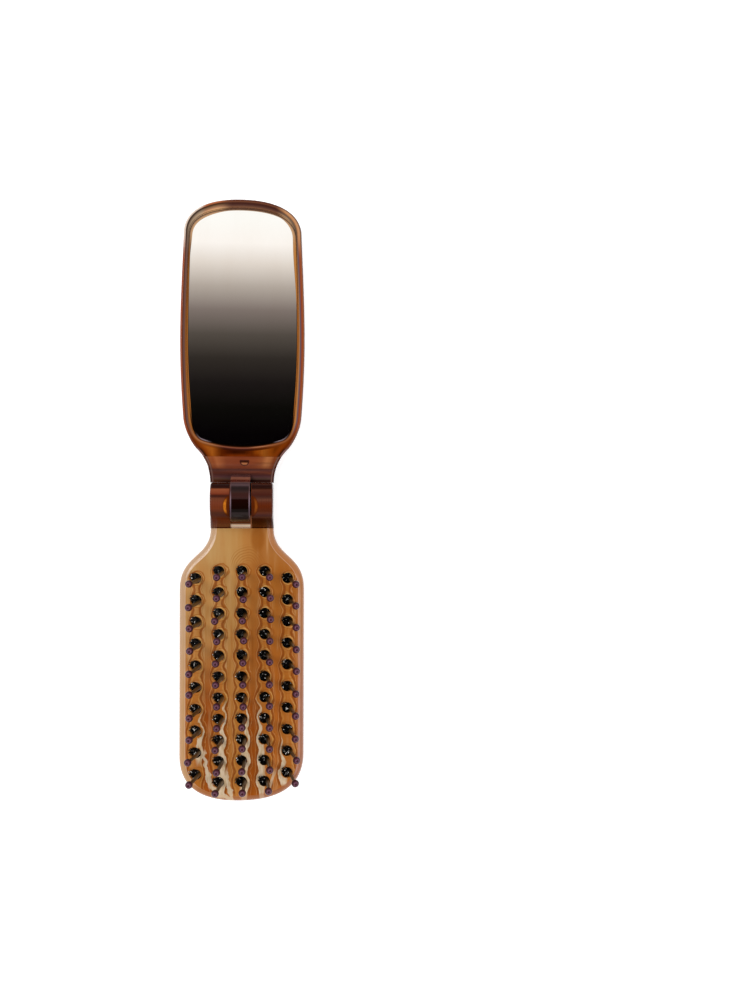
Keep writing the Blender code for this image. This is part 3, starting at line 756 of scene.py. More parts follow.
def caramel_finish():
    """The brush plate: streaked translucent caramel, which runs in bands round the tuft holes. Painted light: a
    lighter left side, highlights round the holes and along the rim, and shade down the holes.
    """
    c = colours()
    draw = Finish("Streaked caramel", specular=0.4)
    vector, x, y, z = draw.place()
    down = y * -1
    rim = draw.attribute("inset")
    wave = vector.noise(0.25, 2, (1, 0.5, 0.1))
    ripple = vector.noise(1, 2, (1, 0.6, 0.1))
    shift = (wave - 0.5) * 1.9 + (ripple - 0.5) * 0.7
    near = draw.group(hole_field_group(), x=x + shift, y=y, core=1.6)
    column, across, along = near["Column"], near["Across"], near["Along"]
    level = down.span(26, 46, 0.4, 0.72) + down.span(46, 68, 0, 0.72)
    edge = near["Contour"] - level
    lower = down.rise(30, 66)

    # Tone across the plate, lighter on the left and more orange on the right: partly the plastic's own colour and
    # partly painted light from the left.
    upper_tone = x.ramp("-18.5 AE8450, -10.5 AC7E48, -3.5 AE8048, 0.5 A87238, 3.2 9C6028, 10 985A20, 18.5 94541C")
    lower_tone = x.ramp(
        "-18.5 A4622C, -12.5 9E5C20, -10.2 8E420C, -8 984E14, -4.6 A05C1E, -2.8 AE7236, -1.3 AC6E30, 0.8 A25C1C, "
        "2.3 954A10, 3.3 8C4208, 4.8 9A5016, 9 A65A1C, 13.5 A25A20, 18.5 9C5A28"
    )
    base = lower.mix(upper_tone, lower_tone)
    neck_tone = x.ramp("-9.5 AA8452, -4 AA804A, 0.5 A6743C, 3 A06A32, 5.3 935822, 7.3 9A622E, 9.5 935C2A")
    base = down.rise(21, 15).mix(base, neck_tone)
    streak = vector.noise(0.6, 5, (1.3, 0.12, 0.1))
    below_neck = down.span(16, 30, 0.35, 1)
    base = (streak.rise(0.46, 0.72) * 0.42 * below_neck).mix(base, c.amber)
    base = (streak.rise(0.5, 0.24) * 0.4 * below_neck).mix(base, c.pale_caramel)
    cloud = vector.noise(0.12, 3, (1, 0.6, 0.1))
    base = (cloud.rise(0.5, 0.68) * 0.3).mix(base, "A2672E")

    blob_x = (x - 4.6) / 2.2
    blob_y = (y + 11.2) / 4.2
    blob = blob_x * blob_x + blob_y * blob_y
    base = (blob.rise(1.3, 0.3) * 0.65).mix(base, "864A12")
    edge_light = x.band(7.2, 7.7, 0.3) * down.band(9, 15, 2)
    base = (edge_light * 0.22).mix(base, "D8B080")
    arch_x = x - 1.6
    arch_y = y + 20.5
    arch = (arch_x * arch_x * 1.6 + arch_y * arch_y).root()
    arches = (arch * 8 + wave * 9).sine()
    at_neck = arch.band(2, 7, 1) * y.rise(-20.5, -17)
    base = (arches.rise(-0.2, 0.9) * at_neck * 0.5).mix(base, "8A5422")

    tail = (along + (column < -0.5)).rise(-4.4, -3.2) | column.band(0, 1, 0.4)
    lit = (across + along * 0.5).rise(-0.8, 1.4)
    inside = edge.rise(0.04, -0.1) * tail
    base = (inside * 0.5).mix(base, lower.mix("9C5C1E", "A06020"))
    around = edge.band(0.05, 1, 0.3) * tail
    lines = (edge * 12 + ripple * 5).sine()
    base = (edge.band(0.05, 0.7, 0.3) * tail * 0.45).mix(base, c.amber)
    base = (lines.rise(0.1, 0.95) * around * 0.5).mix(base, c.dark_amber)
    base = (lines.rise(-0.2, -0.95) * around * 0.3).mix(base, c.pale_caramel)
    # A painted highlight: a pale band just inside each hole's outline, stronger on the holes' right and upper sides.
    halo_highlight = lower.mix("C09050", "BA8848")
    close = near["Distance"].rise(2.7, 2.1) | lower * 0.6
    bright = edge.band(-0.55, -0.2, 0.12) * tail * close * (0.4 + lit * 0.5)
    base = bright.mix(base, halo_highlight)
    base = (edge.band(-0.06, 0.36, 0.1) * tail * 0.82).mix(base, "78390A")
    by_hole = near["Distance"] + across * -0.16 + (ripple - 0.5) * 0.5
    fading = 1 - lower * 0.75
    base = (by_hole.band(1.7, 1.95, 0.1) * fading * 0.4).mix(base, "BE8A4E")
    base = (by_hole.band(2, 2.35, 0.12) * fading * 0.7).mix(base, "8C4A10")

    side = (column < 0.5) * 2 - 1
    toward = across * side
    size = abs(column)
    starts = 61.5 + size * (size * 1.6 - 1.75) + (column > 1.5) * 8
    past = down - starts
    wide = past.span(-2, 13, 0.3, 1.6)
    frayed = (ripple - 0.5) * 0.9
    cream = edge.rise(-0.08, -0.2) * (edge + wide + frayed).rise(-0.1, 0.1) * toward.rise(-0.4, 0.3)
    cream = cream * past.rise(-5, 3) * tail * ((column > -1.5) | down.rise(79.5, 76.5))
    sway = vector.noise(0.45, 2, (0.4, 1, 0.1))
    bent = x + (shift * 0.5 + (sway - 0.5) * 2.6)
    run_1 = abs(bent - (-11.3 + (down - 74.2) * 0.2)) - down.span(73, 82, 0.1, 0.7)
    run_1 = (run_1 + frayed * 0.4).rise(0.2, -0.1) * down.band(74.5, 85.4, 1)
    sweep = abs(down + shift * 0.5 - (85.2 + (x + 9.2) * 0.66))
    sweep = run_1 | sweep.rise(0.85, 0.5) * x.band(-9.6, -2.4, 0.4)
    bend = ((down - 76 | 0) / 13) ** 2
    run_2 = abs(bent - (-5 + bend * 2.6)).rise(0.75, 0.4) * down.rise(79, 82)
    run_3 = abs(x + shift * 0.6 - (10.3 - (down - 80.3) * 0.36))
    run_3 = run_3.rise(0.7, 0.3) * down.rise(79.5, 82) * down.rise(89, 84) * 0.7
    cream = cream | sweep | run_2 | run_3
    grain = vector.noise(1.6, 3, (1, 0.25, 0.1))
    creamy = grain.rise(0.4, 0.7).mix(c.cream, "B39A76")
    base = (cream * 0.85).mix(base, creamy)
    dark_run = x.band(2.9, 3.3, 0.35) * down.band(38, 50, 3) * 0.5
    base = dark_run.mix(base, "7E4210")

    seen_low = draw.group(hole_field_group(), x=x * 1.08, y=y, core=1.7)
    under = seen_low["Distance"]
    outward = seen_low["Across"] * x.sign()
    ghost = seen_low["Along"].band(-0.5, 1, 0.4) * outward.band(1, 3, 0.5) * 0.45
    behind = ghost.mix(base, "5E3614")
    bars = seen_low["Along"].band(-0.6, 0.5, 0.25) * rim.rise(2.6, 2.2) * 0.55
    behind = bars.mix(behind, "6E4428")
    behind = under.rise(1.7, 1.45).mix(behind, "2E1C0E")
    behind = (under.rise(0.9, 0.2) * 0.6).mix(behind, "6A4A2C")
    for spot in (39.4, 64.6):
        off = x.hypot(y + spot)
        behind = (off.band(2.7, 2.85, 0.1) * 0.6).mix(behind, "6E4420")
    base = draw.upward().rise(-0.2, -0.6).mix(base, behind)

    # The rounded rim: painted light, with bands lighter on the left than on the right and a painted glint along the
    # rim's inner border, strongest on the left.
    left = x.rise(8, -8)
    low_end = down.rise(82.5, 86.5)
    left_tone = low_end.mix(lower.mix("B18F70", "B48C62"), "9E6438")
    right_tone = low_end.mix(lower.mix("A0683C", "966046"), "965C3A")
    on_rim = (rim + ripple * 0.2).rise(1.98, 1.8)
    base = (on_rim * 0.86).mix(base, left.mix(right_tone, left_tone))
    base = (on_rim * cream * down.rise(84, 88) * 0.6).mix(base, "D2BC9C")
    glint = rim.band(1.72, 1.86, 0.08)
    bright = left * 0.4 + 0.25 * (1 - left) * down.rise(60, 30)
    bright = bright * (1 - low_end * 0.8)
    base = (glint * bright).mix(base, "E8D2C0")

    # Painted shade down the tuft holes: their walls darken towards the foot.
    in_hole = z.rise(6.98, 6.9) * rim.rise(2.1, 2.4) * z.rise(0.4, 0.8)
    hole_shade = z.ramp("4.5 1C0E06, 5.8 42240C, 6.6 7A4818, 7 A0682E")
    base = in_hole.mix(base, hole_shade)
    return draw.moulded(base, vector, 0.14, 0.04)


def amber_finish():
    """The mirror tray: deep amber, with painted highlight and shade bands along its rounded rim and by the mirror's
    edge.
    """
    draw = Finish("Deep amber", specular=0.15)
    vector, x, y, z = draw.place()
    rim, seat = draw.attribute("inset"), draw.attribute("seat")
    streak = vector.noise(0.5, 4, (1, 0.35, 1))

    neck = x.ramp(
        "-12 864410, -9 8A4812, -7.6 6A3008, -6.2 4A1800, -4.5 3A0F00, -2.5 280900, 0.5 320E00, 2.5 561E00, "
        "4.5 7A3806, 6.5 8A4A14, 8 783808, 9.5 602802, 12 5C2400"
    )
    neck = (y.rise(14.4, 13.2) * abs(x).rise(7, 4)).mix(neck, "642402")
    neck = (streak.rise(0.45, 0.7) * 0.3).mix(neck, "2A0C00")
    # Painted light: bands of highlight and shade by the mirror's edge.
    by_seat = seat.ramp("0 1A0A02, 0.15 35170C, 0.35 5C2F1C, 0.52 7C4530, 0.75 44201A, 1 331006, 1.5 2A0A02")
    by_seat_right = seat.ramp("0 2E1608, 0.15 52280E, 0.4 A0684A, 0.62 74401F, 0.85 481C06, 1.5 3D1300")
    by_seat = x.rise(1, 5).mix(by_seat, by_seat_right)
    outer = seat.ramp("0 50301C, 0.2 6A3A1A, 0.45 98603E, 0.65 80502E, 0.95 723C16, 1.2 7A3C0C, 1.5 803E08")
    outer_right = seat.ramp("0 50301C, 0.2 6A3A1A, 0.45 804A2C, 0.65 74401F, 0.95 602C0A, 1.2 5A2402, 1.5 5C2400")
    outer = x.rise(-2, 2).mix(outer, outer_right)
    by_seat = abs(x).rise(5, 10).mix(by_seat, outer)
    # Painted light: bands of highlight and shade across the rounded rim, each part of the rim with its own.
    right = rim.ramp(
        "0 5A3636, 0.3 7A4A38, 0.48 885030, 0.72 7C2E00, 0.98 78402E, 1.25 463A4C, 1.5 7A5E4A, 1.8 A8682A, "
        "2.1 9A6236, 2.3 84543A"
    )
    left = rim.ramp(
        "0 743C2C, 0.3 8A3E24, 0.5 86401F, 0.76 351C0A, 1.02 5A3C3A, 1.35 583E34, 1.62 78441A, 1.92 AC6C2C, "
        "2.15 8A5E3A"
    )
    top = rim.ramp(
        "0 60382C, 0.4 4A200E, 0.75 60341E, 1.05 381202, 1.4 340E04, 1.75 422218, 2.1 563424, 2.45 6A442C, "
        "2.75 644434, 3 705444"
    )
    # A painted pale highlight on the top left corner of the rim, with a dark line inside it.
    corner = rim.ramp(
        "0 B8A698, 0.3 D4C2B4, 0.52 B4A090, 0.7 3E2614, 0.9 1E1006, 1.15 5A4636, 1.45 7E6A56, 1.75 90785E, "
        "2.1 A4886C, 3 9C8068"
    )
    shoulder = rim.ramp(
        "0 6A4228, 0.3 A05A34, 0.55 985430, 0.82 3A1800, 1.1 3E2410, 1.35 64492E, 1.5 74543B, 1.8 8C6248, "
        "2.1 AE805C, 2.4 BA8F65, 3 A5825C"
    )
    far = rim.ramp("0 4A342C, 0.3 6A4634, 0.7 B0805A, 1.05 AA7448, 1.4 5E4230, 1.75 62503F, 2.1 A8825E, 3 A8805A")
    sides = x.rise(-3, 3).mix(left, right)
    upper = x.rise(-3, -8).mix(top, shoulder)
    upper = x.rise(-10.5, -13).mix(upper, corner)
    upper = x.rise(9.5, 13.5).mix(upper, far)
    bands = y.rise(72, 81).mix(sides, upper)
    front = seat.rise(1.5, 1.3).mix(neck, by_seat)
    front = (rim.rise(1, 0.8) | y.rise(18, 24)).mix(front, bands)
    shoulder_low = rim.ramp(
        "0 6A4238, 0.3 5E2F1C, 0.6 58260B, 0.9 541C02, 1.2 602604, 1.6 6A2C06, 2.2 743205, 3 7C3A0A"
    )
    past_seat = seat.rise(0.7, 1.3)
    front = (y.rise(23, 18) * rim.rise(3, 1.4) * past_seat * 0.9).mix(front, shoulder_low)
    waist = rim.ramp("0 6E4A44, 0.2 6C4440, 0.4 74504A, 0.6 34180E, 0.8 240C02, 1 3E1800, 1.3 602404, 1.6 6A2A04")
    front = (y.rise(16.2, 15) * rim.rise(1.6, 1.2) * 0.9).mix(front, waist)

    on_lug = z.rise(4.8, 5) * y.rise(12.4, 12.2) * y.rise(9, 9.2)
    lug_tone = y.ramp("10.45 5A3220, 10.7 7A4A30, 11 A86A44, 11.25 8A5030, 11.5 3E1C10")
    front = on_lug.mix(front, lug_tone)

    cloud = vector.noise(0.09, 3, (1, 0.6, 1))
    drift = y + (cloud - 0.5) * 9
    back = drift.ramp(
        "13 652801, 19 783500, 25 tray, 45 tray, 50 743604, 58 602503, 64 4E1801, 72 tray_dark, 77 tray_dark, "
        "82 521700, 86 6D2B07, 89 552A0F"
    )
    by_side = drift.ramp(
        "18 723005, 28 6A2B02, 50 672702, 60 561A01, 70 5E2201, 76 6B2B02, 80 84420A, 84 90541F, 88 845A3E"
    )
    by_side_left = drift.ramp(
        "18 6D2B04, 28 622201, 36 5A1B00, 46 581A00, 54 662801, 60 622401, 67 6B3002, 72 773B08, 76 804410, "
        "80 925920, 86 966432"
    )
    by_side = x.rise(4, -4).mix(by_side, by_side_left)
    back = abs(x).rise(6.5, 12).mix(back, by_side)
    fine = vector.noise(0.6, 4, (0.15, 1.8, 1))
    back = (fine.rise(0.5, 0.75) * 0.12).mix(back, "A05A12")
    back = (fine.rise(0.5, 0.25) * 0.12).mix(back, "300A00")
    for along, radius in GLUE_DOTS:
        off = (abs(x) - GLUE_DOTS_ACROSS).hypot(y - along)
        back = (off.rise(radius + 0.1, radius - 0.2) * 0.08).mix(back, "B06A20")
        back = (off.band(radius - 0.12, radius + 0.06, 0.1) * 0.3).mix(back, "7A3810")
    from_arc = y - (16.3 + x * x / 68)
    back = (from_arc.band(-0.1, 0.25, 0.12) * 0.85).mix(back, "220800")
    back = (from_arc.band(0.45, 0.65, 0.12) * 0.3).mix(back, "B87838")
    # Painted light on the back's rounded rim: bands of highlight and shade, with a white glint line on the +X side.
    by_rim = rim.ramp(
        "0 8A5040, 0.3 84482E, 0.6 70483A, 0.9 6C4444, 1.2 8E5C4E, 1.5 946250, 1.8 A08480, 2.05 C8B4B0, 2.3 86543A, "
        "2.6 602806, 3 5E2400"
    )
    by_rim_left = rim.ramp(
        "0 744436, 0.3 7E4022, 0.6 904A30, 0.9 8A4030, 1.2 885E4C, 1.5 80624C, 1.75 5C2A12, 2 561402, 3 5A1E00"
    )
    by_rim = x.rise(4, -4).mix(by_rim, by_rim_left)
    back = rim.rise(2.75, 2.5).mix(back, by_rim)
    back = (rim.rise(2.6, 2.2) * y.rise(84, 88) * 0.7).mix(back, "4A1C08")
    base = draw.upward().rise(-0.3, 0.1).mix(back, front)
    return draw.moulded(base, vector, 0.1, 0.04)


def hinge_streaks(vector, base, strength=0.13):
    """Fine streaks across, as light shows them in the dark plastic."""
    streak = vector.noise(0.6, 4, (0.15, 1.8, 1))
    base = (streak.rise(0.5, 0.75) * strength).mix(base, "8A4A28")
    return (streak.rise(0.48, 0.25) * strength).mix(base, "1C0A08")


def block_finish():
    """The hinge block: dark brown, with painted reflection and shade bands across its barrel, lighter where light
    comes through, and with the domes' painted glow beside the slot.
    """
    c = colours()
    draw = Finish("Dark brown block", specular=0.03)
    vector, x, y, _ = draw.place()
    # Painted reflections: light and dark bands across the barrel, left and right.
    left = y.ramp(
        "-8.3 4A1000, -7.6 561400, -7.1 5A1600, -6.7 541000, -5.1 541400, -4.7 522414, -4.2 4C2820, -3.4 4A2618, "
        "-3 562818, -2 622C16, -0.5 64301E, 0.7 5A301E, 1 4A2216, 1.3 341812, 1.7 421C12, 2 642A18, 3.4 7E4228, "
        "3.7 2A0A02, 4.4 200400, 5.3 280800"
    )
    right = y.ramp(
        "-8.3 3C0A00, -7.5 421000, -7 320800, -6 2A0600, -5.2 300A04, -4.8 40241C, -4.2 482824, -3.5 50281C, "
        "-3 4C200E, -1.4 54200A, -0.5 522414, 0.3 523024, 0.8 48281E, 1.2 3C201A, 1.9 3E1A12, 3.2 482418, "
        "3.7 200600, 4.4 220400, 4.9 2E0E08, 5.3 280800"
    )
    base = x.rise(-1, 1).mix(left, right)
    base = hinge_streaks(vector, base)
    ribs = (x * 9).sine()
    base = (ribs.rise(0.2, 1) * y.band(-2.6, 0.8, 0.3) * 0.18).mix(base, "3A1410")
    edges = abs(x).rise(8.4, 8.9)
    base = (edges * 0.4).mix(base, "5A3A34")
    upright = draw.upward().rise(0.22, 0.08)
    base = (upright * 0.85).mix(base, hinge_streaks(vector, "4A1E14"))
    from_slot = abs(x - SLOT_SHIFT / MM) - SLOT_HALF_WIDTH / MM
    along = y + 1.5
    ovals = [(from_slot / wide).hypot(along / long) for wide, long in ((1.95, 3.05), (0.95, 2.8))]
    above = draw.upward().rise(0.1, 0.5)
    base = (ovals[0].rise(1.06, 0.94) * above * 0.9).mix(base, "4A1A02")
    # A painted glow: the domes' light through the cheeks beside the slot.
    crescent = ovals[0].rise(1, 0.84) * ovals[1].rise(0.9, 1.25) * above
    grain = vector.noise(1.4, 2).rise(0.3, 0.6)
    lit = x.span(-3, 3, 0.95, 0.5) * abs(along).rise(2.7, 0.9) * (0.6 + grain * 0.4)
    base = (crescent * lit).mix(base, x.rise(-1, 1).mix(c.glow, "94501A"))
    slot_wall = from_slot.rise(0.12, 0.03) * from_slot.rise(-0.3, -0.05)
    wall_tone = y.ramp("-8.4 7A4A28, -6.5 6A3010, -3 3E1408, 0.5 5A2408, 4 6E3010")
    base = slot_wall.mix(base, wall_tone)
    return draw.moulded(base, vector, 0.1, 0.04)


def neck_finish():
    """The neck and its tongue: lighter over the tray's spigot, nearly black on the tongue, with painted reflection
    bands across the tongue and paler painted reflections on its rounded sides.
    """
    draw = Finish("Dark brown neck", specular=0.1)
    vector, x, y, z = draw.place()
    rim = draw.attribute("inset")
    fanned = x * (1 - (y - 10.5) * 0.035)
    over = fanned.ramp(
        "-10.5 86502E, -9.2 7C4224, -8.2 7C3E20, -7.3 8C4E2C, -6.2 824628, -4.6 6E351F, 0 6A301C, 3.8 72381F, "
        "5.4 7C4224, 6.8 945A34, 7.8 8A522E, 8.8 6A3218, 10.5 7E4C2A"
    )
    over = (y.rise(11.2, 9.6) * 0.35).mix(over, "5A2C1E")
    low = y.ramp(
        "5.35 3E281E, 5.55 341812, 5.8 220C08, 6.1 2A1410, 6.4 443028, 6.8 4A302C, 7.2 44282A, 7.5 402220, "
        "7.9 44221C, 8.3 4A2218, 8.6 4C2218, 8.9 4A221A, 9.2 42201A, 9.5 52281E, 10 6A3622"
    )
    base = y.rise(9.2, 10.2).mix(low, over)
    base = hinge_streaks(vector, base, 0.32)
    edge = rim.ramp("0 2E1414, 0.4 3A1A16, 0.75 6E544C, 0.95 44241C, 1.6 4A2418")
    base = (rim.rise(1.2, 0.9) * y.rise(4.8, 5.2) * 0.8).mix(base, edge)
    flat_edge = LUG_AT / MM + 0.15 - y
    from_window = (x - LUG_OFFSET / MM).hypot(flat_edge)
    round_edge = from_window.band(1.15, 1.42, 0.08) * flat_edge.rise(-0.35, -0.2)
    straight = flat_edge.band(-0.35, 0, 0.08) * from_window.rise(1.45, 1.3)
    outline = (round_edge | straight) * z.rise(5, 5.3)
    base = (outline * 0.85).mix(base, "2A1010")
    # Painted reflections: dark and grey bands across the tongue's barrel.
    tongue = y.ramp(
        "-6.1 280800, -5.8 140200, -5.5 241C1A, -4.9 261C1A, -4.4 261E1C, -3.4 281E1E, -3.1 0C0402, -2.6 0E0402, "
        "0.4 160402, 0.7 2E1C1A, 1.2 341C1A, 2.2 301814, 3 241412, 3.8 1A100E, 4.2 2C1A1C, 4.7 4A3436, 5.1 3A2022, "
        "5.6 3A1812, 6.2 4A1A0C"
    )
    off_middle = abs(x - TONGUE_SHIFT / MM)
    side = off_middle.rise(2.4, 2.6)
    # Painted reflections: lilac on the tongue's rounded sides.
    side_reflection = y.ramp("-6 4A2A20, -3 54404A, -0.5 7A6470, 1 7A6068, 3 4A3030")
    tongue = (side * 0.8).mix(tongue, side_reflection)
    on_tongue = z.rise(8.6, 8.9) * y.rise(6.4, 6)
    base = on_tongue.mix(base, tongue)
    root = off_middle.rise(2.95, 2.75) * y.band(6.2, 7, 0.1) * z.rise(8.3, 8.45)
    base = (root * 0.8).mix(base, "7A4A3A")
    foot = off_middle.rise(2.95, 2.75) * y.band(5.3, 6.1, 0.1) * z.rise(8.3, 8.45)
    base = (foot * 0.8).mix(base, "48180E")
    behind = draw.upward().rise(-0.2, -0.6) * y.rise(5, 5.4)
    base = (behind * 0.85).mix(base, hinge_streaks(vector, "34140C", 0.3))
    return draw.moulded(base, vector, 0.1, 0.04)


def silver_finish():
    """The mirror plate: silver up to a bare edge, through which the amber shows."""
    c = colours()
    draw = Finish("Silvered glass", specular=0.02)
    vector, x, y, _ = draw.place()
    inset = draw.attribute("inset")
    far_right = y.rise(58, 76) * x.rise(11, 15)
    far_left = y.rise(72, 80) * x.rise(-3, -12)
    past_bare = inset - (0.34 + far_right * 0.6 + far_left * 0.45)
    smear = vector.noise(0.15, 4, (1, 0.4, 1))
    silver = smear.rise(0.3, 0.8).mix(c.silver, "FCFAF7")
    # A painted highlight: a pale lilac line on the bare edge at the glass's lower corners.
    corner = abs(x).band(10, 13, 1.2) * 0.7
    edge_low = corner.mix(inset.rise(0.1, 0.25).mix("1A0A02", "050201"), "8C7A80")
    edge = inset.rise(0.2, 0.32).mix("A8682C", "2E1A10")
    edge_far = inset.ramp("0 6E5240, 0.3 8E6E54, 0.6 AC8662, 1 B08C68")
    edge_right = inset.ramp("0 9A6434, 0.3 A46A30, 0.6 A06C38, 1 A07448")
    edge = (y.rise(56, 62) * x.rise(0, 5)).mix(edge, edge_right)
    edge = (y.rise(74, 82) | far_left).mix(edge, edge_far)
    edge = y.rise(30, 22).mix(edge, edge_low)
    base = past_bare.rise(0.05, 0.12).mix(edge, silver)
    inputs = {"Base Color": base, "Metallic": past_bare.rise(0, 0.05), "Roughness": 0.02 + smear * 0.01}
    draw.feed(draw.shader, inputs)
    return draw.material


def plain_finish(name, one, two, scale, roughness, stretch=(1, 1, 1)):
    """A finish with a soft change between two colours."""
    draw = Finish(name)
    vector = draw.place()[0]
    grain = vector.noise(scale, 3, stretch).rise(0.35, 0.65)
    return draw.moulded(grain.mix(one, two), vector, roughness, 0.05)


def ball_finish():
    """Dark ball tips, with rings of light round the middle of their tops."""
    draw = Finish("Ball tip", specular=0.12)
    vector = draw.add("ShaderNodeAttribute", attribute_name="from_centre")["Vector"]
    x, y, z = vector.parts()
    rings = (x.hypot(y) / sizes().ball_radius).ramp(
        "0 4A2818, 0.08 300C14, 0.25 34141C, 0.42 664252, 0.58 502C3A, 0.72 3C1A24, 0.88 36141A, 1 2A0E12"
    )
    return draw.moulded(z.rise(-0.0002, 0.0002).mix(colours().ball, rings), vector, 0.2, 0.03)


def bristle_finish():
    """Black bristles, with small pale glints."""
    draw = Finish("Black bristle", specular=0.08)
    vector, _, _, z = draw.place()
    base = vector.noise(1.1, 2).rise(0.35, 0.6).mix(colours().bristle, "0E0A08")
    # Painted glints: pale specks at the bristles' tips.
    painted_glint = vector.noise(1.25, 1).rise(0.63, 0.66) * z.rise(7.9, 8.2)
    return draw.moulded(painted_glint.mix(base, "F0EAE2"), vector, 0.3, 0.05)


# Pieces


def holes():
    """The place of each tuft hole's foot, pointing up the hole, and the same places with each tuft's lean."""
    found = []
    turns = []
    middle = (len(COLUMNS) - 1) / 2
    top = sizes().brush_thickness
    chance = random.Random(SWAY_SEED)
    for c, column in enumerate(COLUMNS):
        lean = Matrix.Rotation((c - middle) * COLUMN_FAN, 4, "Y")
        for r in range(column["rows"]):
            mouth = Vector(((c - middle) * COLUMN_PITCH, -column["start"] - r * column["step"], top))
            foot = mouth - lean.to_3x3() @ Vector((0, 0, HOLE_DEPTH))
            place = Matrix.Translation(foot) @ lean
            found.append(place)
            sway = [chance.uniform(-TUFT_SWAY, TUFT_SWAY) for _ in "xy"]
            sway[0] += TUFT_LEAN - mouth.y * TUFT_LEAN_CHANGE
            sway[1] += TUFT_SIDE_LEAN - mouth.x * TUFT_SIDE_CHANGE
            tilt = Euler((*sway, chance.uniform(-TUFT_TWIST, TUFT_TWIST))).to_matrix().to_4x4()
            turns.append(place @ tilt)
    return found, turns


def build_brush_plate():
    s = sizes()
    side = brush_side()
    section = rounded_edge(0, s.brush_thickness, s.brush_edge, s.brush_edge, RIM_INNER)
    body = plate("brush_plate", side, section)
    top = s.brush_thickness + OVERRUN
    joint = block("joint", (-CUT_HALF_WIDTH, -BODY_JOINT - SEAM, -OVERRUN), (CUT_HALF_WIDTH, OVERRUN, top))
    radius, mouth = s.hole_radius, s.hole_radius + HOLE_MOUTH
    profile = [(radius, 0), (radius, HOLE_DEPTH - 0.1 * MM), (mouth, HOLE_DEPTH + 0.05 * MM), (mouth, HOLE_DEPTH + MM)]
    drill = turned("drill", profile, HOLE_SIDES, holes()[0])
    shape_with(body, "DIFFERENCE", joint, drill)
    measure(body, "inset", mirrored(side))
    complete(body, caramel_finish(), "brush_half", ["brush_body"])


def domes(name, grown, across):
    """The tongue's two snap domes, or with grown the dimples for them, about a middle at across."""
    radius = (DOME_BASE_RADIUS**2 + DOME_HEIGHT**2) / (2 * DOME_HEIGHT)
    centre = TONGUE_HALF_WIDTH + DOME_HEIGHT - radius
    made = []
    for sign in (-1, 1):
        shape = bmesh.new()
        place = Matrix.Translation((across + sign * centre, 0, PIVOT_HEIGHT)) @ Matrix.Rotation(math.pi / 2, 4, "Y")
        sides = DOME_SEGMENTS
        bmesh.ops.create_uvsphere(shape, u_segments=sides, v_segments=sides // 2, radius=radius + grown, matrix=place)
        made.append(new_piece(f"{name}_{sign}", shape))
    return made


def build_clevis():
    s = sizes()
    rear = -BODY_JOINT - OVERRUN
    pivot = (0, PIVOT_HEIGHT)
    profile = [(BARREL_RADIUS, 0)] + arc(pivot, BARREL_RADIUS, 0, BARREL_BACK, BARREL_STEPS)
    profile += [(-BODY_JOINT, s.brush_thickness), (rear, s.brush_thickness), (rear, 0)]
    half = s.neck_half_width
    clevis = bar("hinge_block", profile, half)
    soften_rims(clevis, -half, half, s.hinge_edge)
    floor_angle = math.asin(-FLOOR_REAR / SLOT_RADIUS) - math.pi / 2
    top = PIVOT_HEIGHT + BARREL_RADIUS + OVERRUN
    slot = [(rear - OVERRUN, -OVERRUN), (-FLOOR_REAR, -OVERRUN)]
    slot += arc(pivot, SLOT_RADIUS, floor_angle, 0, SLOT_STEPS)
    slot += [(SLOT_RADIUS, top), (rear - OVERRUN, top)]
    behind = (CUT_HALF_WIDTH, -BODY_JOINT, s.brush_thickness + OVERRUN)
    joint = block("joint", (-CUT_HALF_WIDTH, rear - OVERRUN, -OVERRUN), behind)
    gap = shifted(bar("slot", slot, SLOT_HALF_WIDTH), SLOT_SHIFT)
    shape_with(clevis, "DIFFERENCE", gap, joint, *domes("dimple", DIMPLE_ROOM, SLOT_SHIFT))
    for vert in clevis.data.vertices:
        if abs(vert.co.x) > half - CHEEK_SKIN:
            share = min(max((vert.co.z - s.brush_thickness) / (PIVOT_HEIGHT - s.brush_thickness), 0), 1)
            vert.co.x -= math.copysign(CHEEK_DRAFT * share, vert.co.x)
    complete(clevis, block_finish(), "brush_half", ["hinge_clevis"])


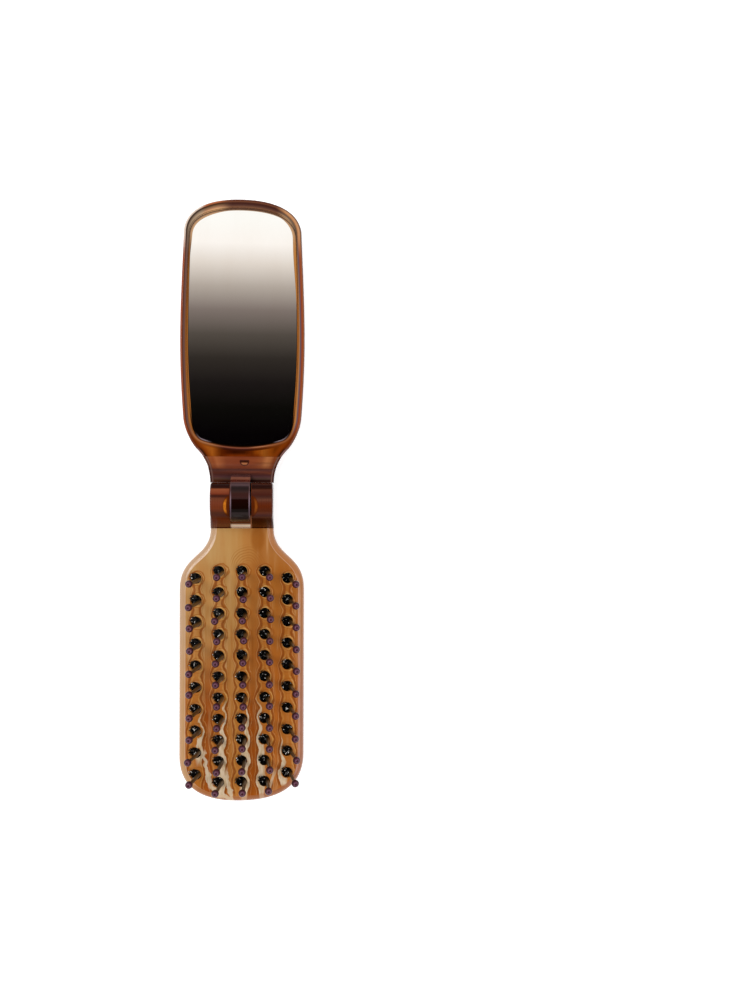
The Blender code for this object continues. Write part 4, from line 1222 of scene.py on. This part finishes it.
def build_leaf():
    s = sizes()
    front_edge = SHELL_JOINT - SEAM
    crest = NECK_CURVE_FROM + LEAF_CREST
    foot = front_edge - LEAF_FOOT
    run = foot - crest
    top = s.mirror_thickness
    profile = [(LEAF_END, -OVERRUN), (front_edge, -OVERRUN), (front_edge, top), (foot, top)]
    profile += cubic((foot, top), (foot - run * 0.45, top), (crest + run * 0.45, LEAF_HEIGHT), (crest, LEAF_HEIGHT))
    profile.append((LEAF_END, LEAF_HEIGHT))
    section = rounded_edge(0, LEAF_HEIGHT + OVERRUN, s.tray_edge, 0.1 * MM, RIM_INNER)
    leaf = plate("hinge_leaf_neck", tray_side(), section)
    shape_with(leaf, "INTERSECT", bar("profile", profile, WIDE_CUT_HALF_WIDTH))
    pivot = (0, PIVOT_HEIGHT)
    arm_low = LEAF_HEIGHT - MM
    lowest = PIVOT_HEIGHT - math.sqrt(SLOT_RADIUS**2 - BARREL_RADIUS**2) + MM
    arm = [pivot, (LEAF_END, lowest), (LEAF_END + 0.3 * MM, arm_low), (LEAF_END + 3 * MM, arm_low)]
    arm.append(arc(pivot, TONGUE_RADIUS, TONGUE_CORNER, 0)[0])
    barrel = arc(pivot, TONGUE_RADIUS, 0, 2 * math.pi, TONGUE_STEPS)[:-1]
    tongue = bar("tongue_barrel", barrel, TONGUE_HALF_WIDTH)
    soften_rims(tongue, -TONGUE_HALF_WIDTH, TONGUE_HALF_WIDTH, TONGUE_EDGE)
    parts = [shifted(made, TONGUE_SHIFT) for made in (bar("tongue_arm", arm, TONGUE_HALF_WIDTH), tongue)]
    shape_with(leaf, "UNION", *parts, *domes("dome", 0, TONGUE_SHIFT))
    past = SHELL_JOINT + OVERRUN
    roof = SHELL_SPIGOT_TOP + SEAM
    cutters = [
        prism("skin_room", seam_outline(CUT_HALF_WIDTH, -SEAM, past), -OVERRUN, roof),
        block(
            "socket",
            (-SHELL_SPIGOT_HALF_WIDTH - SEAM, SHELL_SPIGOT_END - SEAM, SHELL_SPIGOT_BOTTOM - SEAM),
            (SHELL_SPIGOT_HALF_WIDTH + SEAM, past, roof),
        ),
        prism("front_window", lug_outline(LUG_AT, LUG_ROOM), SHELL_SPIGOT_BOTTOM, LEAF_HEIGHT + OVERRUN),
        prism("back_window", lug_outline(BACK_WINDOW_AT), -OVERRUN, SHELL_SPIGOT_TOP),
    ]
    shape_with(leaf, "DIFFERENCE", *cutters)
    slice_faces(leaf, LEAF_GRID)
    measure(leaf, "inset", mirrored(tray_side()))
    complete(leaf, neck_finish(), "mirror_half", ["hinge_leaf"])


def build_tray():
    s = sizes()
    side = tray_side()
    tray = plate("mirror_tray", side, rounded_edge(0, s.mirror_thickness, s.tray_edge, s.tray_lip, TRAY_RIM_INNER))
    top = s.mirror_thickness + OVERRUN
    low = LEAF_END - 2 * OVERRUN
    shape_with(
        tray,
        "DIFFERENCE",
        prism("seat", mirrored(glass_side(SEAT_ROOM)), SEAT_FLOOR, top),
        prism("lip", mirrored(glass_side(LIP_ROOM)), GLASS_HIGH.z + 0.1 * MM, top),
        prism("seam", seam_outline(WIDE_CUT_HALF_WIDTH, 0, low), -OVERRUN, top),
    )
    spigot = block(
        "spigot",
        (-SHELL_SPIGOT_HALF_WIDTH, SHELL_SPIGOT_END, SHELL_SPIGOT_BOTTOM),
        (SHELL_SPIGOT_HALF_WIDTH, SHELL_JOINT + 1.5 * MM, SHELL_SPIGOT_TOP + MM),
    )
    shape_with(tray, "UNION", spigot)
    wide = WIDE_CUT_HALF_WIDTH
    shape_with(tray, "DIFFERENCE", block("over_spigot", (-wide, low, SHELL_SPIGOT_TOP), (wide, SHELL_JOINT, top)))
    shape_with(tray, "UNION", prism("lug", lug_outline(LUG_AT), SHELL_SPIGOT_TOP - MM, LUG_TOP))
    slice_faces(tray, TRAY_GRID)
    measure(tray, "inset", mirrored(side))
    measure(tray, "seat", mirrored(glass_side()))
    complete(tray, amber_finish(), "mirror_half", ["mirror_shell"])


def build_glue():
    film = prism("glue_film", mirrored(glass_side(-GLUE_INSET)), GLUE_LOW.z, GLUE_LOW.z + GLUE_FILM)
    rise = GLUE_HIGH.z - GLUE_LOW.z - GLUE_DOT_FOOT
    dots = []
    for along, radius in GLUE_DOTS:
        for across in (-GLUE_DOTS_ACROSS, GLUE_DOTS_ACROSS):
            place = Matrix.Translation((across * MM, along * MM, GLUE_LOW.z + GLUE_DOT_FOOT))
            profile = [(radius * MM, 0), (radius * MM, rise)]
            dots.append(turned(f"dot_{len(dots)}", profile, GLUE_DOT_SIDES, [place]))
    shape_with(film, "UNION", *dots)
    finish = plain_finish("Glue", colours().glue, "B88048", 0.2, 0.4)
    complete(film, finish, "mirror_half", ["mirror_glue"])


def build_glass():
    section = rounded_edge(GLASS_LOW.z, GLASS_HIGH.z, GLASS_BACK_EDGE, GLASS_EDGE, GLASS_RIM_INNER)
    section[-1:-1] = [(0.6 * MM, GLASS_HIGH.z), (MM, GLASS_HIGH.z)]
    side = glass_side()
    glass = plate("mirror_plate", side, section)
    measure(glass, "inset", mirrored(side))
    complete(glass, silver_finish(), "mirror_half", ["mirror_glass"])


def spread_tree(name, shape_of, values):
    """A node tree that puts one shape on every point. The values become its named inputs."""
    tree = bpy.data.node_groups.new(name.replace("_", " ").capitalize(), "GeometryNodeTree")
    kinds = {label: "Int" if isinstance(value, int) else "Float" for label, value in values.items()}
    for label, kind in ({"Holes": "Geometry", "Finish": "Material"} | kinds).items():
        tree.interface.new_socket(label, in_out="INPUT", socket_type=f"NodeSocket{kind}")
    tree.interface.new_socket("Geometry", in_out="OUTPUT", socket_type="NodeSocketGeometry")
    draw = Nodes(tree)
    given = draw.add("NodeGroupInput")
    turn = draw.add("GeometryNodeInputNamedAttribute", {"Name": "turn"}, data_type="FLOAT_VECTOR")["Attribute"]
    inputs = {"Points": given["Holes"], "Instance": shape_of(draw, given), "Rotation": turn}
    made = draw.add("GeometryNodeInstanceOnPoints", inputs)[0]
    made = draw.add("GeometryNodeRealizeInstances", {"Geometry": made})[0]
    made = draw.add("GeometryNodeSetShadeSmooth", {"Geometry": made})[0]
    made = draw.add("GeometryNodeSetMaterial", {"Geometry": made, "Material": given["Finish"]})[0]
    draw.add("NodeGroupOutput", {"Geometry": made})
    return tree


def plant(name, shape_of, finish, values):
    """Puts one shape on every tuft hole, and keeps the result as a plain mesh."""
    tree = spread_tree(name, shape_of, values)
    places = holes()[1]
    mesh = bpy.data.meshes.new(name)
    mesh.from_pydata([p.to_translation() for p in places], [], [])
    turns = mesh.attributes.new("turn", "FLOAT_VECTOR", "POINT")
    turns.data.foreach_set("vector", [angle for p in places for angle in p.to_euler()])
    piece = bpy.data.objects.new(name, mesh)
    bpy.context.scene.collection.objects.link(piece)
    step = piece.modifiers.new("spread", "NODES")
    step.node_group = tree
    ids = {item.name: item.identifier for item in tree.interface.items_tree if item.in_out == "INPUT"}
    for label, value in ({"Finish": finish} | values).items():
        step[ids[label]] = value
    apply_modifiers(piece)
    if "turn" in piece.data.attributes:
        piece.data.attributes.remove(piece.data.attributes["turn"])
    complete(piece, finish, "brush_half", TUFTS)


def bristle_shape(draw, given):
    """A clump of bristles on a spiral, leaning apart a little."""
    index = draw.add("GeometryNodeInputIndex")[0]
    radius = ((index + 0.5) / given["Count"]).root() * given["Spread"]
    angle = index * GOLDEN_ANGLE
    x = radius * angle.cosine() + given["Offset"]
    y = radius * angle.sine()
    inputs = {"Count": given["Count"], "Position": draw.join(x, y, BRISTLE_FOOT)}
    points = draw.add("GeometryNodePoints", inputs)[0]
    inputs = {"Vertices": 5, "Radius Top": given["Tip radius"], "Radius Bottom": given["Radius"]}
    cone = draw.add("GeometryNodeMeshCone", inputs | {"Depth": given["Length"]})["Mesh"]
    inputs = {0: BRISTLE_LEAN[0], 1: BRISTLE_LEAN[1], "Seed": LEAN_SEED}
    chance = draw.add("FunctionNodeRandomValue", inputs, data_type="FLOAT_VECTOR")[0]
    lean = draw.join(y * (given["Splay"] * -1.0), x * given["Splay"], 0)
    turn = draw.add("ShaderNodeVectorMath", (lean, chance), operation="ADD")[0]
    inputs = {2: BRISTLE_HEIGHTS[0], 3: BRISTLE_HEIGHTS[1], "Seed": HEIGHT_SEED}
    tall = draw.add("FunctionNodeRandomValue", inputs, data_type="FLOAT")[1]
    inputs = {"Points": points, "Instance": cone, "Rotation": turn, "Scale": draw.join(1, 1, tall)}
    return draw.add("GeometryNodeInstanceOnPoints", inputs)[0]


def pin_shape(draw, given):
    """One pin, thinner towards its ball, bent a little away from the bristles."""
    inputs = {"Resolution": 8, "Start": PIN_START, "Middle": PIN_MIDDLE, "End": draw.join(0, 0, given["Reach"])}
    curve = draw.add("GeometryNodeCurveQuadraticBezier", inputs)[0]
    radius = given["Radius"] * (1.0 - draw.add("GeometryNodeSplineParameter")["Factor"] * 0.2)
    ring = draw.add("GeometryNodeCurvePrimitiveCircle", {"Resolution": 10, "Radius": 1})["Curve"]
    inputs = {"Curve": curve, "Profile Curve": ring, "Scale": radius, "Fill Caps": True}
    return draw.add("GeometryNodeCurveToMesh", inputs)[0]


def ball_shape(draw, given):
    """A ball, with its own coordinates kept for its finish."""
    ball = draw.add("GeometryNodeMeshUVSphere", {"Segments": 18, "Rings": 12, "Radius": given["Radius"]})["Mesh"]
    inputs = {"Geometry": ball, "Name": "from_centre", "Value": draw.add("GeometryNodeInputPosition")[0]}
    kept = draw.add("GeometryNodeStoreNamedAttribute", inputs, data_type="FLOAT_VECTOR")[0]
    inputs = {"Geometry": kept, "Translation": draw.join(0, 0, given["Reach"])}
    return draw.add("GeometryNodeTransform", inputs)[0]


def root_shape(draw, given):
    """The folded root of a tuft, low in its hole."""
    inputs = {"Vertices": 16, "Radius": given["Radius"], "Depth": ROOT_HEIGHT}
    disc = draw.add("GeometryNodeMeshCylinder", inputs)["Mesh"]
    return draw.add("GeometryNodeTransform", {"Geometry": disc, "Translation": (0, 0, ROOT_MIDDLE)})[0]


def build_tufts():
    s, c = sizes(), colours()
    bristles = {
        "Count": s.bristles,
        "Spread": CLUMP_RADIUS,
        "Offset": CLUMP_OFFSET,
        "Radius": s.bristle_radius * BRISTLE_FOOT_SHARE,
        "Tip radius": s.bristle_radius,
        "Length": HOLE_DEPTH + s.bristle_proud - BRISTLE_FOOT,
        "Splay": BRISTLE_SPLAY,
    }
    plant("bristle_clumps", bristle_shape, bristle_finish(), bristles)
    reach = HOLE_DEPTH + s.pin_proud
    # Lengthwise lighter and darker stripes on the pins: painted highlights and shade along them.
    brown = plain_finish("Brown pin", c.pin, "2C1A06", 2.4, 0.3, (1, 1, 0.08))
    plant("pins", pin_shape, brown, {"Reach": reach, "Radius": s.pin_radius})
    plant("ball_tips", ball_shape, ball_finish(), {"Reach": reach, "Radius": s.ball_radius})
    root = plain_finish("Tuft root", c.bristle, "1A1614", 1.0, 0.6)
    plant("tuft_roots", root_shape, root, {"Radius": ROOT_RADIUS})


# Stage


def square(name, place, half_sizes):
    """A level rectangle about a place."""
    shape = bmesh.new()
    bmesh.ops.create_grid(shape, x_segments=1, y_segments=1, size=1)
    for vert in shape.verts:
        vert.co = Vector(place) + Vector((vert.co.x * half_sizes[0], vert.co.y * half_sizes[1], 0))
    return new_piece(name, shape)


def build_floor():
    """A pale floor that stays white for the camera and keeps a soft shadow, with painted shadow and painted amber
    light where the hinge's slot shows it.
    """
    floor = square("floor", FLOOR_PLACE, FLOOR_HALF_SIZES)
    draw = Finish("Pale floor", 0.6, 0)
    x, y = draw.place()[1:3]
    # Painted light and shadow on the floor under the hinge's slot: the hinge's shadow and amber light through the
    # plastic.
    in_slot = abs(x - SLOT_SHIFT / MM).rise(4.2, 3.8) * y.band(-8.6, -3.0, 0.1)
    slot_light_and_shadow = y.ramp("-8.4 8C6B4C, -8 B69A82, -7.6 CBB09B, -7.3 A08468, -7 4A2208, -6.6 542B17, -6.3 240A00, -6 240A00")
    slot_light_and_shadow = (x.rise(2.2, 2.5) * y.rise(-4.2, -5.2)).mix(slot_light_and_shadow, "7A4C32")
    slot_light_and_shadow = draw.mix(1, slot_light_and_shadow, (1.7, 1.7, 1.7), "MULTIPLY")
    draw.feed(draw.shader, {"Base Color": in_slot.mix(colours().floor, slot_light_and_shadow)})
    path = draw.add("ShaderNodeLightPath")
    seen = path["Is Camera Ray"] | (path["Is Glossy Ray"] | path["Is Transmission Ray"])
    glow = draw.add("ShaderNodeEmission", {"Color": in_slot.mix((1, 1, 1), slot_light_and_shadow), "Strength": 0.5})[0]
    plain = Added(draw, draw.shader)[0]
    both = draw.add("ShaderNodeAddShader", (plain, glow))[0]
    floor.data.materials.append(draw.surface(draw.add("ShaderNodeMixShader", (seen, plain, both))[0]))


def build_card():
    """A soft light card over the mirror, bright at its far end, which only reflections see."""
    card = square("light_card", CARD_PLACE, CARD_HALF_SIZES)
    draw = Finish("Light card")
    fade = draw.place()[2].ramp(
        "10 000000, 25.5 040203, 36 0B0A08, 45.8 1B1716, 55.5 302B27, 65 524B45, 74.6 7E736D, 84 B3A9A0, "
        "93 E2D9D0, 101 FEF9F4, 110 FFFEFA"
    )
    card.data.materials.append(draw.surface(draw.add("ShaderNodeEmission", {"Color": fade})[0]))
    draw.tree.nodes.remove(draw.shader)
    card.visible_camera = card.visible_diffuse = card.visible_shadow = card.visible_transmission = False


def build_world():
    """White for the camera, even light for the surfaces, and a dark patch overhead for reflections."""
    world = bpy.data.worlds.new("Studio")
    bpy.context.scene.world = world
    world.use_nodes = True
    draw = Nodes(world.node_tree)
    x, y, z = draw.add("ShaderNodeTexCoord")["Generated"].parts()
    height = z | 0.001
    along = y / height
    across = abs(x / height)
    dark = along.rise(-1.3, -0.95) * along.rise(0.95, 0.65) * across.rise(0.8, 0.5)
    path = draw.add("ShaderNodeLightPath")
    soft = path["Is Glossy Ray"].mix(SOFT_LIGHT, dark.mix(GLOSSY_LIGHT, GLOSSY_DARK))
    seen = (path["Is Camera Ray"] | path["Is Transmission Ray"]).mix(soft, (1, 1, 1))
    draw.feed(world.node_tree.nodes["Background"], {"Color": seen, "Strength": 1})


def build_lamp(name, place, size, power):
    """A round lamp that looks at the hinge."""
    data = bpy.data.lights.new(name, "AREA")
    data.shape = "DISK"
    data.size = size
    data.energy = power
    lamp = bpy.data.objects.new(name, data)
    bpy.context.scene.collection.objects.link(lamp)
    lamp.location = place
    lamp.rotation_euler = (-Vector(place)).to_track_quat("-Z", "Y").to_euler()


def build_camera():
    data = bpy.data.cameras.new("camera")
    data.lens = CAMERA_LENS
    camera = bpy.data.objects.new("camera", data)
    bpy.context.scene.collection.objects.link(camera)
    camera.location = CAMERA_PLACE
    forward = (Vector(CAMERA_AIM) - camera.location).normalized()
    right = forward.cross(Vector((0, 1, 0))).normalized()
    turn = Matrix((right, right.cross(forward), -forward)).transposed()
    camera.rotation_euler = (turn @ Matrix.Rotation(CAMERA_ROLL, 3, "Z")).to_euler()
    bpy.context.scene.camera = camera


def build_stage():
    build_floor()
    build_card()
    build_world()
    for lamp in LAMPS:
        build_lamp(*lamp)
    build_camera()
    bpy.context.scene.view_settings.view_transform = "Standard"


# Operators


class HAIRBRUSH_OT_stage(bpy.types.Operator):
    """Build the floor, the light and the camera"""

    bl_idname = "hairbrush.stage"
    bl_label = "Stage"

    def execute(self, context):
        build_stage()
        return {"FINISHED"}


class HAIRBRUSH_OT_plate(bpy.types.Operator):
    """Build the caramel brush plate with its tuft holes"""

    bl_idname = "hairbrush.plate"
    bl_label = "Brush plate"

    def execute(self, context):
        build_brush_plate()
        return {"FINISHED"}


class HAIRBRUSH_OT_tufts(bpy.types.Operator):
    """Build the bristle clumps, the pins, their ball tips and their roots"""

    bl_idname = "hairbrush.tufts"
    bl_label = "Tufts"

    def execute(self, context):
        build_tufts()
        return {"FINISHED"}


class HAIRBRUSH_OT_hinge(bpy.types.Operator):
    """Build the hinge block and the neck that turns in it"""

    bl_idname = "hairbrush.hinge"
    bl_label = "Hinge"

    def execute(self, context):
        build_clevis()
        build_leaf()
        return {"FINISHED"}


class HAIRBRUSH_OT_tray(bpy.types.Operator):
    """Build the amber tray that holds the mirror"""

    bl_idname = "hairbrush.tray"
    bl_label = "Mirror tray"

    def execute(self, context):
        build_tray()
        return {"FINISHED"}


class HAIRBRUSH_OT_mirror(bpy.types.Operator):
    """Build the mirror plate and the glue under it"""

    bl_idname = "hairbrush.mirror"
    bl_label = "Mirror and glue"

    def execute(self, context):
        build_glue()
        build_glass()
        return {"FINISHED"}


OPERATORS = (
    HAIRBRUSH_OT_stage,
    HAIRBRUSH_OT_plate,
    HAIRBRUSH_OT_tufts,
    HAIRBRUSH_OT_hinge,
    HAIRBRUSH_OT_tray,
    HAIRBRUSH_OT_mirror,
)


class HAIRBRUSH_PT_panel(bpy.types.Panel):
    bl_idname = "HAIRBRUSH_PT_panel"
    bl_label = "Folding hairbrush"
    bl_space_type = "VIEW_3D"
    bl_region_type = "UI"
    bl_category = "Hairbrush"

    def draw(self, context):
        for operator in OPERATORS:
            self.layout.operator(operator.bl_idname)
        for group in (context.scene.hairbrush_sizes, context.scene.hairbrush_colours):
            box = self.layout.box()
            for name in group.bl_rna.properties.keys():
                if name not in {"rna_type", "name"}:
                    box.prop(group, name)


CLASSES = (HairbrushSizes, HairbrushColours, *OPERATORS, HAIRBRUSH_PT_panel)


def register():
    for kind in CLASSES:
        bpy.utils.register_class(kind)
    bpy.types.Scene.hairbrush_sizes = bpy.props.PointerProperty(type=HairbrushSizes)
    bpy.types.Scene.hairbrush_colours = bpy.props.PointerProperty(type=HairbrushColours)


def unregister():
    del bpy.types.Scene.hairbrush_sizes
    del bpy.types.Scene.hairbrush_colours
    for kind in reversed(CLASSES):
        bpy.utils.unregister_class(kind)


def main():
    register()
    for name in ("stage", "plate", "tufts", "hinge", "tray", "mirror"):
        getattr(bpy.ops.hairbrush, name)()


if __name__ == "__main__":
    main()
